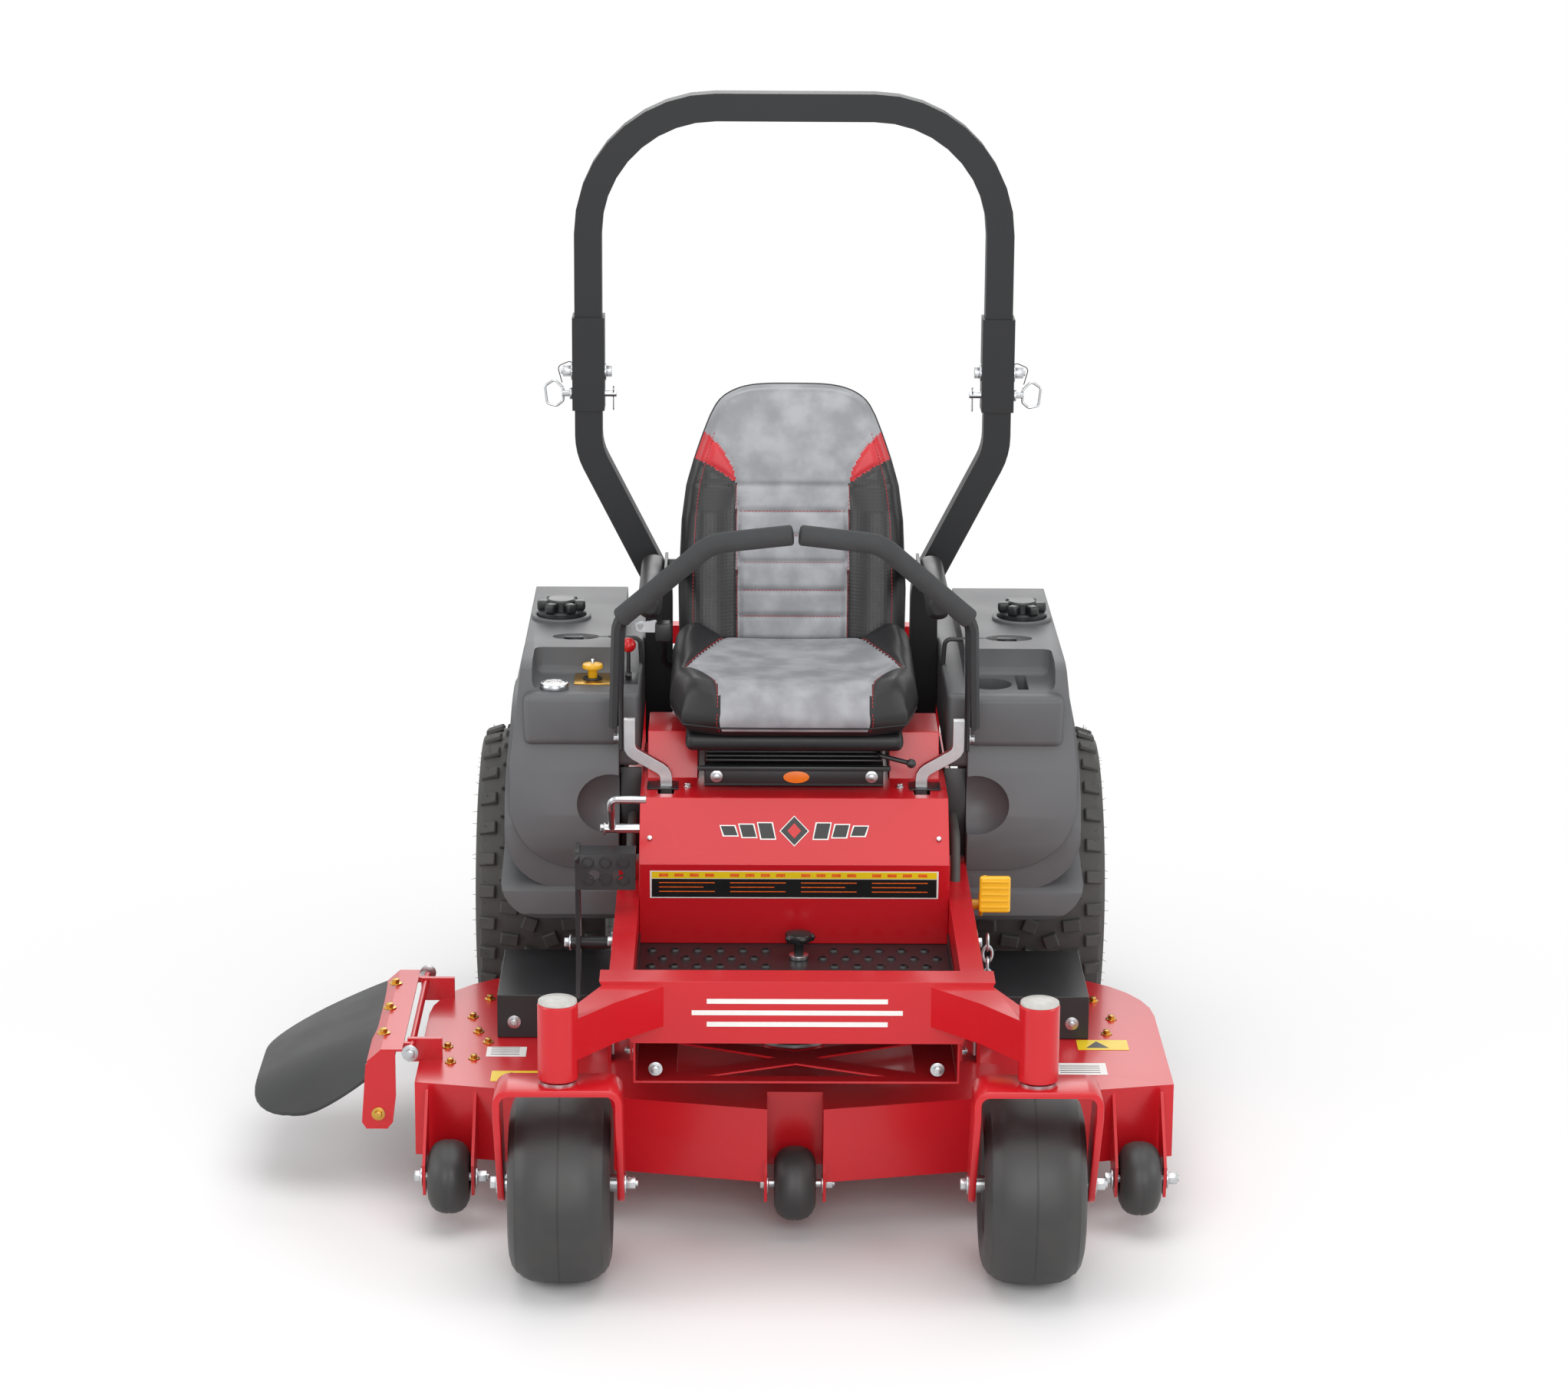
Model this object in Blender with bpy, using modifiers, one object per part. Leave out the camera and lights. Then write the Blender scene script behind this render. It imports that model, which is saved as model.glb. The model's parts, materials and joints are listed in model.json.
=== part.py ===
"""Zero turn mower, built as an assembly of separate solids.

Metres, +Z up. The mower faces -Y. The operator's left side is +X.
All builders work in datum coordinates: x from the centre line, y from the
caster axle towards the rear, z from the ground. The datum empty then moves
the whole machine so that the origin is under the centre of its box.
"""

import math

import bmesh
import bpy
from mathutils import Matrix, Vector

# ---------------------------------------------------------------- dimensions
GAP = 0.0003                    # clearance between solids that touch

# wheels
CASTER_TRACK = 0.780
CASTER_TRAIL = 0.100
CASTER_TYRE_RADIUS = 0.165
CASTER_TYRE_WIDTH = 0.168
CASTER_RIM_RADIUS = 0.0762
WHEELBASE = 1.270
DRIVE_TYRE_RADIUS = 0.300
DRIVE_TYRE_WIDTH = 0.250
DRIVE_TYRE_OUTER = 0.594        # half of the overall width over the tyres
DRIVE_RIM_RADIUS = 0.1524

# caster forks and head tubes
FORK_PLATE = 0.012
FORK_DEPTH = 0.085
FORK_SIDE_CLEARANCE = 0.009
FORK_TOP_CLEARANCE = 0.037
STEM_RADIUS = 0.016
STEM_COLLAR_RADIUS = 0.028
STEM_COLLAR_HEIGHT = 0.008
AXLE_RADIUS = 0.0065
HEAD_RADIUS = 0.033
HEAD_ABOVE_BEAM = 0.024

# frame
RAIL_WIDTH = 0.040
RAIL_HEIGHT = 0.095
CONSOLE_HALF_WIDTH = 0.2732
BEAM_FRONT = 0.057
BEAM_DEPTH = 0.061
BEAM_ABOVE_RAIL = 0.008
BEAM_TOP_HALF_WIDTH = 0.328
BEAM_BOTTOM_HALF_WIDTH = 0.275
ARM_HEIGHT = 0.070
GUARD_REACH = 0.530             # rear guard behind the drive axle
GUARD_TUBE = 0.038
GUARD_HEIGHT = 0.230

# console, seat and controls
SHEET = 0.003
CONSOLE_RISE = 0.2497           # console top above the pan underside
SEAT_HALF_WIDTH = 0.232
SEAT_DEPTH = 0.450
CUSHION_THICKNESS = 0.085
BACK_HALF_WIDTH = 0.2125
BACK_HEIGHT = 0.512
BACK_THICKNESS = 0.085
BACK_RECLINE = math.radians(15)
LEVER_WIDTH = 0.021
LEVER_THICKNESS = 0.014
BAR_RADIUS = 0.0127
GRIP_RADIUS = 0.0180

# roll bar
ROPS_TUBE = 0.0508
ROPS_HALF_WIDTH = 0.381         # to the tube's centre line
ROPS_FOOT_HALF_WIDTH = 0.250
ROPS_TOP = 1.830
ROPS_HINGE = 1.310
ROPS_BEND_RADIUS = 0.235
SLEEVE_WALL = 0.0045

# deck
DECK_WIDTH = 1.310
DECK_RIM = 0.100
DECK_HEIGHT = 0.132
DECK_WALL = 0.005
DECK_FRONT = 0.170
DECK_SWEEP = 0.130              # how far the outer front corners lie behind the nose
BLADE_RADIUS = 0.2225
BLADE_CLEARANCE = 0.0075
ROLLER_RADIUS = 0.0635
ROLLER_WIDTH = 0.071
ROLLER_HEIGHT = 0.0935
PULLEY_RADIUS = 0.070
BELT_INNER_RADIUS = 0.058
BELT_DEPTH = 0.008
CHUTE_REACH = 0.300             # past the deck's side

# ------------------------------------------------------------ derived places
SIDES = {"left": 1, "right": -1}
FORK_TOP = 2 * CASTER_TYRE_RADIUS + FORK_TOP_CLEARANCE + FORK_PLATE
HEAD_BOTTOM = FORK_TOP + STEM_COLLAR_HEIGHT
RAIL_BOTTOM = max(FORK_TOP + 0.016, DRIVE_TYRE_RADIUS + 0.095)
RAIL_TOP = RAIL_BOTTOM + RAIL_HEIGHT
BEAM_BOTTOM = RAIL_BOTTOM - 0.005
BEAM_TOP = RAIL_TOP + BEAM_ABOVE_RAIL
BEAM_BACK = BEAM_FRONT + BEAM_DEPTH
HEAD_TOP = BEAM_TOP + HEAD_ABOVE_BEAM
RAIL_INNER = CONSOLE_HALF_WIDTH + GAP
RAIL_OUTER = RAIL_INNER + RAIL_WIDTH
PAN_BOTTOM = RAIL_BOTTOM + 0.003
PAN_TOP = PAN_BOTTOM + 0.004
CONSOLE_BOTTOM = PAN_TOP + GAP
CONSOLE_TOP = CONSOLE_BOTTOM + CONSOLE_RISE
CONSOLE_FRONT = WHEELBASE - 0.740
SEAT_FRONT = WHEELBASE - 0.670
LEVER_Y = WHEELBASE - 0.580
LEVER_FOOT_X = 0.228
LEVER_TOP_X = 0.2936
LEVER_PIVOT_Z = CONSOLE_TOP - 0.082
CUSHION_BOTTOM = CONSOLE_TOP + 0.113
CUSHION_TOP = CUSHION_BOTTOM + CUSHION_THICKNESS
BACK_FOOT_Y = SEAT_FRONT + SEAT_DEPTH + 2 * GAP
BACK_FOOT_Z = CUSHION_BOTTOM + 0.035
ARMREST_PIVOT = (BACK_HALF_WIDTH, WHEELBASE - 0.140, CUSHION_BOTTOM + 0.190)
ROPS_Y = WHEELBASE - 0.070
GUARD_BACK = WHEELBASE + GUARD_REACH
DRIVE_TYRE_CENTRE = DRIVE_TYRE_OUTER - DRIVE_TYRE_WIDTH / 2
DECK_TOP = DECK_RIM + DECK_HEIGHT
DECK_HALF_WIDTH = DECK_WIDTH / 2
POCKET_HALF_WIDTH = ROLLER_WIDTH / 2 + 0.0125
NOSE_ROLLER_Y = DECK_FRONT + 0.015
POCKET_BACK = NOSE_ROLLER_Y + ROLLER_RADIUS + 0.0075
CENTRE_SPINDLE_Y = POCKET_BACK + DECK_WALL + BLADE_RADIUS + BLADE_CLEARANCE + 0.004
OUTER_SPINDLE_X = DECK_HALF_WIDTH - DECK_WALL - BLADE_RADIUS - BLADE_CLEARANCE
OUTER_SPINDLE_Y = CENTRE_SPINDLE_Y + 0.163
SPINDLES = {
    "left": (OUTER_SPINDLE_X, OUTER_SPINDLE_Y),
    "centre": (0.0, CENTRE_SPINDLE_Y),
    "right": (-OUTER_SPINDLE_X, OUTER_SPINDLE_Y),
}
LIFT_LINK_Y = CONSOLE_FRONT - 0.110
OUTER_ROLLER_X = DECK_HALF_WIDTH - 0.064
CHUTE_HINGE = (-(DECK_HALF_WIDTH + 0.012), DECK_TOP + 0.030)
BOX_CENTRE = (-CHUTE_REACH / 2, (GUARD_BACK - CASTER_TYRE_RADIUS) / 2)

# --------------------------------------------------------------- scene set-up
for old in list(bpy.data.objects):
    bpy.data.objects.remove(old)

PARTS = bpy.data.collections.new("zero_turn_mower")
CUTTERS = bpy.data.collections.new("cutters")
bpy.context.scene.collection.children.link(PARTS)
bpy.context.scene.collection.children.link(CUTTERS)

DATUM = bpy.data.objects.new("mower_datum", None)
DATUM.location = (-BOX_CENTRE[0], -BOX_CENTRE[1], 0)
PARTS.objects.link(DATUM)


def make_material(name, colour, roughness, metallic=0.0):
    """Principled material with one linear colour."""
    material = bpy.data.materials.new(name)
    material.use_nodes = True
    shader = material.node_tree.nodes["Principled BSDF"]
    shader.inputs["Base Color"].default_value = (*colour, 1.0)
    shader.inputs["Roughness"].default_value = roughness
    shader.inputs["Metallic"].default_value = metallic
    material.diffuse_color = (*colour, 1.0)
    return material


RED = make_material("red_paint", (0.58, 0.012, 0.020), 0.30)
BLACK = make_material("black_paint", (0.012, 0.012, 0.013), 0.38)
PLASTIC = make_material("black_plastic", (0.045, 0.046, 0.048), 0.60)
RUBBER = make_material("tyre_rubber", (0.018, 0.018, 0.019), 0.80)
FOAM = make_material("foam_grip", (0.035, 0.036, 0.038), 0.90)
ZINC = make_material("zinc_plate", (0.62, 0.62, 0.60), 0.35, 1.0)
STEEL = make_material("bare_steel", (0.35, 0.35, 0.36), 0.40, 1.0)
VINYL = make_material("seat_vinyl", (0.11, 0.11, 0.115), 0.62)
YELLOW = make_material("yellow_plastic", (0.85, 0.58, 0.02), 0.40)
ALLOY = make_material("cast_alloy", (0.42, 0.42, 0.43), 0.45, 1.0)


# ------------------------------------------------------------------- helpers
def mesh_from(bm, name="shape"):
    """Turn a bmesh into a mesh and free it."""
    mesh = bpy.data.meshes.new(name)
    bm.to_mesh(mesh)
    bm.free()
    return mesh


def box(low, high, bevel=0.0, segments=1):
    """Box between two corners, with its edges bevelled when asked."""
    low = Vector(low)
    high = Vector(high)
    bm = bmesh.new()
    place = Matrix.Translation((low + high) / 2) @ Matrix.Diagonal((*(high - low), 1))
    bmesh.ops.create_cube(bm, size=1.0, matrix=place)
    if bevel:
        bmesh.ops.bevel(bm, geom=bm.edges[:], offset=bevel, offset_type="OFFSET",
                        segments=segments, profile=0.5, affect="EDGES", material=-1)
    return mesh_from(bm)


def rod(start, end, radius, sides=20, end_radius=None):
    """Cylinder or cone between two points."""
    start = Vector(start)
    end = Vector(end)
    along = end - start
    turn = along.to_track_quat("Z", "Y").to_matrix().to_4x4()
    place = Matrix.Translation((start + end) / 2) @ turn
    bm = bmesh.new()
    top = radius if end_radius is None else end_radius
    bmesh.ops.create_cone(bm, cap_ends=True, segments=sides, radius1=radius,
                          radius2=top, depth=along.length, matrix=place)
    return mesh_from(bm)


def ball(centre, radius, sides=14, rings=8):
    """Sphere round a point."""
    bm = bmesh.new()
    bmesh.ops.create_uvsphere(bm, u_segments=sides, v_segments=rings, radius=radius,
                              matrix=Matrix.Translation(centre))
    return mesh_from(bm)


def evaluated_mesh(source):
    """Mesh of an object after its modifiers or its curve settings."""
    bpy.context.scene.collection.objects.link(source)
    bpy.context.view_layer.update()
    graph = bpy.context.evaluated_depsgraph_get()
    mesh = bpy.data.meshes.new_from_object(source.evaluated_get(graph))
    bpy.data.objects.remove(source)
    return mesh


def weld(mesh):
    """Merge loose caps and face everything outwards."""
    bm = bmesh.new()
    bm.from_mesh(mesh)
    bmesh.ops.remove_doubles(bm, verts=bm.verts[:], dist=1e-6)
    bmesh.ops.recalc_face_normals(bm, faces=bm.faces[:])
    bm.to_mesh(mesh)
    bm.free()
    return mesh


AXIS_TURN = {
    "X": Matrix(((0, 0, 1, 0), (1, 0, 0, 0), (0, 1, 0, 0), (0, 0, 0, 1))),
    "Y": Matrix(((1, 0, 0, 0), (0, 0, -1, 0), (0, 1, 0, 0), (0, 0, 0, 1))),
    "Z": Matrix.Identity(4),
}


def prism(outline, axis, low, high, holes=()):
    """Flat outline extruded along an axis.

    The outline's pairs are (y, z) for axis X, (x, z) for Y and (x, y) for Z.
    """
    curve = bpy.data.curves.new("outline", "CURVE")
    curve.dimensions = "2D"
    curve.fill_mode = "BOTH"
    curve.extrude = (high - low) / 2
    for loop in (outline, *holes):
        spline = curve.splines.new("POLY")
        spline.points.add(len(loop) - 1)
        spline.use_cyclic_u = True
        for point, (u, v) in zip(spline.points, loop):
            point.co = (u, v, 0, 1)
    mesh = evaluated_mesh(bpy.data.objects.new("outline", curve))
    middle = (low + high) / 2
    shift = {"X": (middle, 0, 0), "Y": (0, middle, 0), "Z": (0, 0, middle)}[axis]
    mesh.transform(Matrix.Translation(shift) @ AXIS_TURN[axis])
    return weld(mesh)


def turned(profile, centre, axis="Z", steps=32):
    """Turned solid: (radius, height) pairs run down the outer side.

    A profile whose ends lie off the axis is closed into a ring.
    """
    bm = bmesh.new()
    points = [bm.verts.new((radius, 0, height)) for radius, height in profile]
    for first, second in zip(points, points[1:]):
        bm.edges.new((first, second))
    if profile[0][0] > 0:
        bm.edges.new((points[-1], points[0]))
    source = bpy.data.objects.new("turned", mesh_from(bm))
    screw = source.modifiers.new("turn", "SCREW")
    screw.steps = steps
    screw.render_steps = steps
    screw.use_merge_vertices = True
    screw.merge_threshold = 1e-5
    mesh = evaluated_mesh(source)
    mesh.transform(Matrix.Translation(centre) @ AXIS_TURN[axis])
    return weld(mesh)


def rounded_path(points, radius, steps=4):
    """Polyline whose inner corners become arcs of the given radius."""
    points = [Vector(p) for p in points]
    path = [points[0]]
    for before, corner, after in zip(points, points[1:], points[2:]):
        to_before = (before - corner).normalized()
        to_after = (after - corner).normalized()
        half_angle = to_before.angle(to_after) / 2
        reach = radius / math.tan(half_angle)
        centre = corner + (to_before + to_after).normalized() * radius / math.sin(half_angle)
        first = corner + to_before * reach - centre
        last = corner + to_after * reach - centre
        for step in range(steps + 1):
            path.append(centre + arc_point(first, last, step / steps))
    path.append(points[-1])
    return path


def arc_point(first, last, share):
    """Point on the arc between two spokes of one circle."""
    angle = first.angle(last)
    turn = Matrix.Rotation(angle * share, 3, first.cross(last))
    return turn @ first


def tube(path, radius, resolution=2):
    """Round bar along a polyline."""
    curve = bpy.data.curves.new("tube", "CURVE")
    curve.dimensions = "3D"
    curve.use_fill_caps = True
    curve.bevel_depth = radius
    curve.bevel_resolution = resolution
    spline = curve.splines.new("POLY")
    spline.points.add(len(path) - 1)
    for point, place in zip(spline.points, path):
        point.co = (*place, 1)
    return weld(evaluated_mesh(bpy.data.objects.new("tube", curve)))


def square_tube(path, half):
    """Square tube along a polyline in an XZ plane."""
    flat = ribbon([(place.x, place.z) for place in path], half)
    return prism(flat, "Y", path[0].y - half, path[0].y + half)


def ribbon(path, half_width):
    """Closed outline of a flat strip that follows a 2D polyline."""
    path = [Vector(point) for point in path]
    along = [(after - before).normalized() for before, after in zip(path, path[1:])]
    left = []
    right = []
    for index, point in enumerate(path):
        before = along[max(index - 1, 0)]
        after = along[min(index, len(along) - 1)]
        mean = (before + after).normalized()
        side = Vector((-mean.y, mean.x)) * half_width / mean.dot(after)
        left.append(tuple(point + side))
        right.append(tuple(point - side))
    return left + right[::-1]


def arc(centre, radius, start, end, steps):
    """Points on an arc, angles in degrees."""
    points = []
    for step in range(steps + 1):
        angle = math.radians(start + (end - start) * step / steps)
        points.append((centre[0] + radius * math.cos(angle),
                       centre[1] + radius * math.sin(angle)))
    return points


def mirrored(mesh, side):
    """Mesh on the asked side; shapes are drawn on the +X side."""
    if side < 0:
        mesh.transform(Matrix.Diagonal((-1, 1, 1, 1)))
        mesh.flip_normals()
    return mesh


def node(name, mesh, material, pivot=(0, 0, 0), smooth=True):
    """Named part with its origin on the pivot."""
    mesh.transform(Matrix.Translation(-Vector(pivot)))
    mesh.name = name
    mesh.materials.clear()
    mesh.materials.append(material)
    if smooth:
        mesh.shade_smooth()
        mesh.set_sharp_from_angle(angle=math.radians(30))
    part = bpy.data.objects.new(name, mesh)
    part.location = pivot
    part.parent = DATUM
    PARTS.objects.link(part)
    return part


def combine(part, operation, meshes):
    """Add exact Boolean modifiers, one for each operand."""
    for number, mesh in enumerate(meshes):
        cutter = bpy.data.objects.new(f"{part.name}_{operation.lower()}_{number}", mesh)
        cutter.parent = DATUM
        cutter.hide_render = True
        cutter.display_type = "WIRE"
        CUTTERS.objects.link(cutter)
        modifier = part.modifiers.new(cutter.name, "BOOLEAN")
        modifier.operation = operation
        modifier.solver = "EXACT"
        modifier.object = cutter
    return part


# ------------------------------------------------------------------- chassis
def build_main_frame():
    """Welded rails, cross tubes, engine plate and rear guard."""
    rail_back = GUARD_BACK - 0.180
    rail_start = BEAM_BACK + GAP
    rails = [mirrored(box((RAIL_INNER, rail_start, RAIL_BOTTOM),
                          (RAIL_OUTER, rail_back, RAIL_TOP)), side)
             for side in SIDES.values()]
    cross_top = CONSOLE_BOTTOM - GAP
    cross_bottom = RAIL_BOTTOM - 0.040
    members = [
        box((-RAIL_OUTER + 0.002, y, cross_bottom), (RAIL_OUTER - 0.002, y + 0.050, cross_top))
        for y in (CONSOLE_FRONT + 0.090, WHEELBASE - 0.210)
    ]
    members.append(box((-RAIL_OUTER + 0.001, rail_back - 0.060, RAIL_BOTTOM + 0.004),
                       (RAIL_OUTER - 0.001, rail_back + 0.040, RAIL_TOP - 0.003)))
    members.append(box((-RAIL_INNER - 0.010, WHEELBASE - 0.150, RAIL_TOP - 0.020),
                       (RAIL_INNER + 0.010, rail_back - 0.030, RAIL_TOP)))
    guard_x = RAIL_INNER + RAIL_WIDTH / 2
    half = GUARD_TUBE / 2
    low = RAIL_BOTTOM + 0.030
    for side in SIDES.values():
        members.append(mirrored(box((guard_x - half, rail_back + 0.030, low),
                                    (guard_x + half, GUARD_BACK - 0.002, low + GUARD_TUBE)),
                                side))
        members.append(mirrored(box((guard_x - half + 0.001, GUARD_BACK - GUARD_TUBE + 0.001, low + 0.001),
                                    (guard_x + half - 0.001, GUARD_BACK - 0.001, low + GUARD_HEIGHT)),
                                side))
        hanger = box((RAIL_INNER, BEAM_BACK + 0.022, RAIL_BOTTOM - 0.065),
                     (RAIL_INNER + 0.006, BEAM_BACK + 0.212, RAIL_BOTTOM + 0.005))
        members.append(mirrored(hanger, side))
    members.append(box((-guard_x - half, GUARD_BACK - GUARD_TUBE, low + GUARD_HEIGHT - 0.010),
                       (guard_x + half, GUARD_BACK, low + GUARD_HEIGHT - 0.010 + GUARD_TUBE)))
    part = node("main_frame", rails[0], RED, smooth=False)
    return combine(part, "UNION", [rails[1], *members])


def build_front_beam():
    """Front cross beam with the two caster arms and head tubes."""
    outline = [(-BEAM_BOTTOM_HALF_WIDTH, BEAM_BOTTOM), (BEAM_BOTTOM_HALF_WIDTH, BEAM_BOTTOM),
               (BEAM_TOP_HALF_WIDTH, BEAM_TOP), (-BEAM_TOP_HALF_WIDTH, BEAM_TOP)]
    part = node("front_beam", prism(outline, "Y", BEAM_FRONT, BEAM_BACK), RED)
    head_x = CASTER_TRACK / 2
    arm_top = BEAM_TOP - 0.008
    arm = [(head_x - 0.176, BEAM_FRONT + 0.008), (head_x - 0.090, BEAM_FRONT - 0.085),
           (head_x - 0.024, -CASTER_TRAIL - 0.022), (head_x - 0.012, -CASTER_TRAIL + 0.025),
           (BEAM_TOP_HALF_WIDTH - 0.006, BEAM_FRONT + 0.008)]
    bore = STEM_RADIUS + GAP
    head = [(0, HEAD_TOP), (0.020, HEAD_TOP - 0.001), (0.030, HEAD_TOP - 0.0055),
            (HEAD_RADIUS, HEAD_TOP - 0.010), (HEAD_RADIUS, HEAD_BOTTOM), (bore, HEAD_BOTTOM),
            (bore, HEAD_TOP - 0.014), (0, HEAD_TOP - 0.014)]
    extras = []
    for side in SIDES.values():
        extras.append(mirrored(prism(arm, "Z", arm_top - ARM_HEIGHT, arm_top), side))
        extras.append(turned(head, (side * head_x, -CASTER_TRAIL, 0), steps=24))
    return combine(part, "UNION", extras)


def build_brace_tray():
    """Bolted tray under the beam, with crossed slots in its floor."""
    bottom = RAIL_BOTTOM - 0.091
    front = BEAM_FRONT + 0.043
    back = front + 0.240
    top = BEAM_BOTTOM - GAP
    half = CONSOLE_HALF_WIDTH
    outline = [(-half, bottom), (half, bottom), (half, top), (half - 0.004, top),
               (half - 0.004, bottom + 0.004), (-half + 0.004, bottom + 0.004),
               (-half + 0.004, top), (-half, top)]
    part = node("brace_tray", prism(outline, "Y", front, back), RED, smooth=False)
    middle = (front + back) / 2
    slots = []
    for side in SIDES.values():
        across = [(0.035, middle), (0.200, middle - 0.075), (0.200, middle + 0.075)]
        slots.append(mirrored(prism(across, "Z", bottom - 0.01, bottom + 0.02), side))
    for side in (-1, 1):
        along = [(-0.150, middle + side * 0.092), (0.150, middle + side * 0.092),
                 (0, middle + side * 0.030)]
        slots.append(prism(along, "Z", bottom - 0.01, bottom + 0.02))
    return combine(part, "DIFFERENCE", slots)


def build_floor_pan():
    """Foot pan with turned-up sides between the rails."""
    half = CONSOLE_HALF_WIDTH
    front = BEAM_BACK + GAP
    part = node("floor_pan", box((-half, front, PAN_BOTTOM),
                                 (half, CONSOLE_FRONT + 0.070, PAN_TOP)), BLACK, smooth=False)
    flange = box((half - SHEET, front, PAN_BOTTOM + 0.001),
                 (half, CONSOLE_FRONT - 0.003, PAN_BOTTOM + 0.032))
    return combine(part, "UNION", [mirrored(flange.copy(), side) for side in SIDES.values()])


def build_console():
    """Leg panel, sides and top in one folded sheet, with the lever towers."""
    front = CONSOLE_FRONT
    back = front + 0.450
    lap = 0.0005
    outer = [(front + 0.0215, CONSOLE_BOTTOM), (front, CONSOLE_BOTTOM + 0.153),
             (front + 0.088, CONSOLE_TOP), (back, CONSOLE_TOP), (back, CONSOLE_BOTTOM)]
    inner = [(front + 0.0215 + SHEET, CONSOLE_BOTTOM - 0.01),
             (front + 0.0215 + SHEET, CONSOLE_BOTTOM), (front + SHEET, CONSOLE_BOTTOM + 0.152),
             (front + 0.088 + SHEET * 0.5, CONSOLE_TOP - SHEET), (back + 0.01, CONSOLE_TOP - SHEET),
             (back + 0.01, CONSOLE_BOTTOM - 0.01)]
    half = CONSOLE_HALF_WIDTH
    part = node("console", prism(outer, "X", -half, half), RED, smooth=False)
    combine(part, "DIFFERENCE", [prism(inner, "X", -half + SHEET, half - SHEET)])
    tower = [(LEVER_Y + 0.052, CONSOLE_TOP - lap), (LEVER_Y + 0.080, CONSOLE_TOP + 0.081),
             (LEVER_Y + 0.210, CONSOLE_TOP + 0.081), (LEVER_Y + 0.250, CONSOLE_TOP - lap)]
    combine(part, "UNION", [mirrored(prism(tower, "X", 0.172, 0.262), side)
                            for side in SIDES.values()])
    slot = [LEVER_Y - 0.048, LEVER_Y + 0.044]
    reach = LEVER_WIDTH / 2 + 0.004
    slots = [mirrored(box((LEVER_FOOT_X - reach, slot[0], CONSOLE_TOP - 0.010),
                          (LEVER_FOOT_X + reach, slot[1], CONSOLE_TOP + 0.010)), side)
             for side in SIDES.values()]
    return combine(part, "DIFFERENCE", slots)


def tank_outline():
    """Side outline of a pod: shelf, tank top and the wheel arch."""
    front = WHEELBASE - 0.528
    top = CONSOLE_TOP + 0.198
    shelf = top - 0.050
    back = WHEELBASE + 0.170
    arch = DRIVE_TYRE_RADIUS + 0.030
    start = math.degrees(math.acos((back - WHEELBASE) / arch))
    lip = DRIVE_TYRE_RADIUS + 0.085
    end = 180 - math.degrees(math.asin((lip - DRIVE_TYRE_RADIUS) / arch))
    round_arch = arc((WHEELBASE, DRIVE_TYRE_RADIUS), arch, start, end, 12)
    return [(back, top - 0.030), *round_arch, (front + 0.048, lip), (front + 0.006, lip + 0.035),
            (front, lip + 0.110), (front + 0.033, shelf - 0.090), (front + 0.033, shelf - 0.005),
            (front + 0.042, shelf), (front + 0.188, shelf), (front + 0.208, top), (back - 0.030, top)]


def build_fuel_tanks():
    """Moulded fuel tanks with their fenders, and the pocketed top shelf."""
    front = WHEELBASE - 0.528
    top = CONSOLE_TOP + 0.198
    shelf = top - 0.050
    inner = RAIL_OUTER + 0.0005
    outer = 0.530
    for word, side in SIDES.items():
        part = node(f"fuel_tank_{word}", mirrored(prism(tank_outline(), "X", inner, outer), side),
                    PLASTIC)
        cheek = [(front + 0.040, top - 0.190), (front + 0.040, shelf - 0.003),
                 (front + 0.046, shelf - 0.0005), (front + 0.190, shelf - 0.0005),
                 (front + 0.210, top - 0.0005), (WHEELBASE + 0.130, top - 0.0005),
                 (WHEELBASE + 0.130, top - 0.190)]
        combine(part, "UNION", [mirrored(prism(cheek, "X", CONSOLE_HALF_WIDTH + 0.0028,
                                               inner + 0.004), side)])
        if side > 0:
            cup = rod((inner + 0.044, front + 0.112, shelf - 0.060),
                      (inner + 0.044, front + 0.112, shelf + 0.010), 0.038)
            slot = box((inner + 0.092, front + 0.072, shelf - 0.060),
                       (inner + 0.112, front + 0.168, shelf + 0.010))
            combine(part, "DIFFERENCE", [cup, slot])


def build_fuel_caps():
    """Screw caps with a ribbed rim."""
    base = CONSOLE_TOP + 0.198 + GAP
    for word, side in SIDES.items():
        centre = (side * 0.433, WHEELBASE - 0.120, base)
        profile = [(0, 0.036), (0.030, 0.036), (0.040, 0.032), (0.0445, 0.024),
                   (0.046, 0), (0, 0)]
        node(f"fuel_cap_{word}", turned(profile, centre, steps=20), PLASTIC, pivot=centre)


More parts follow.
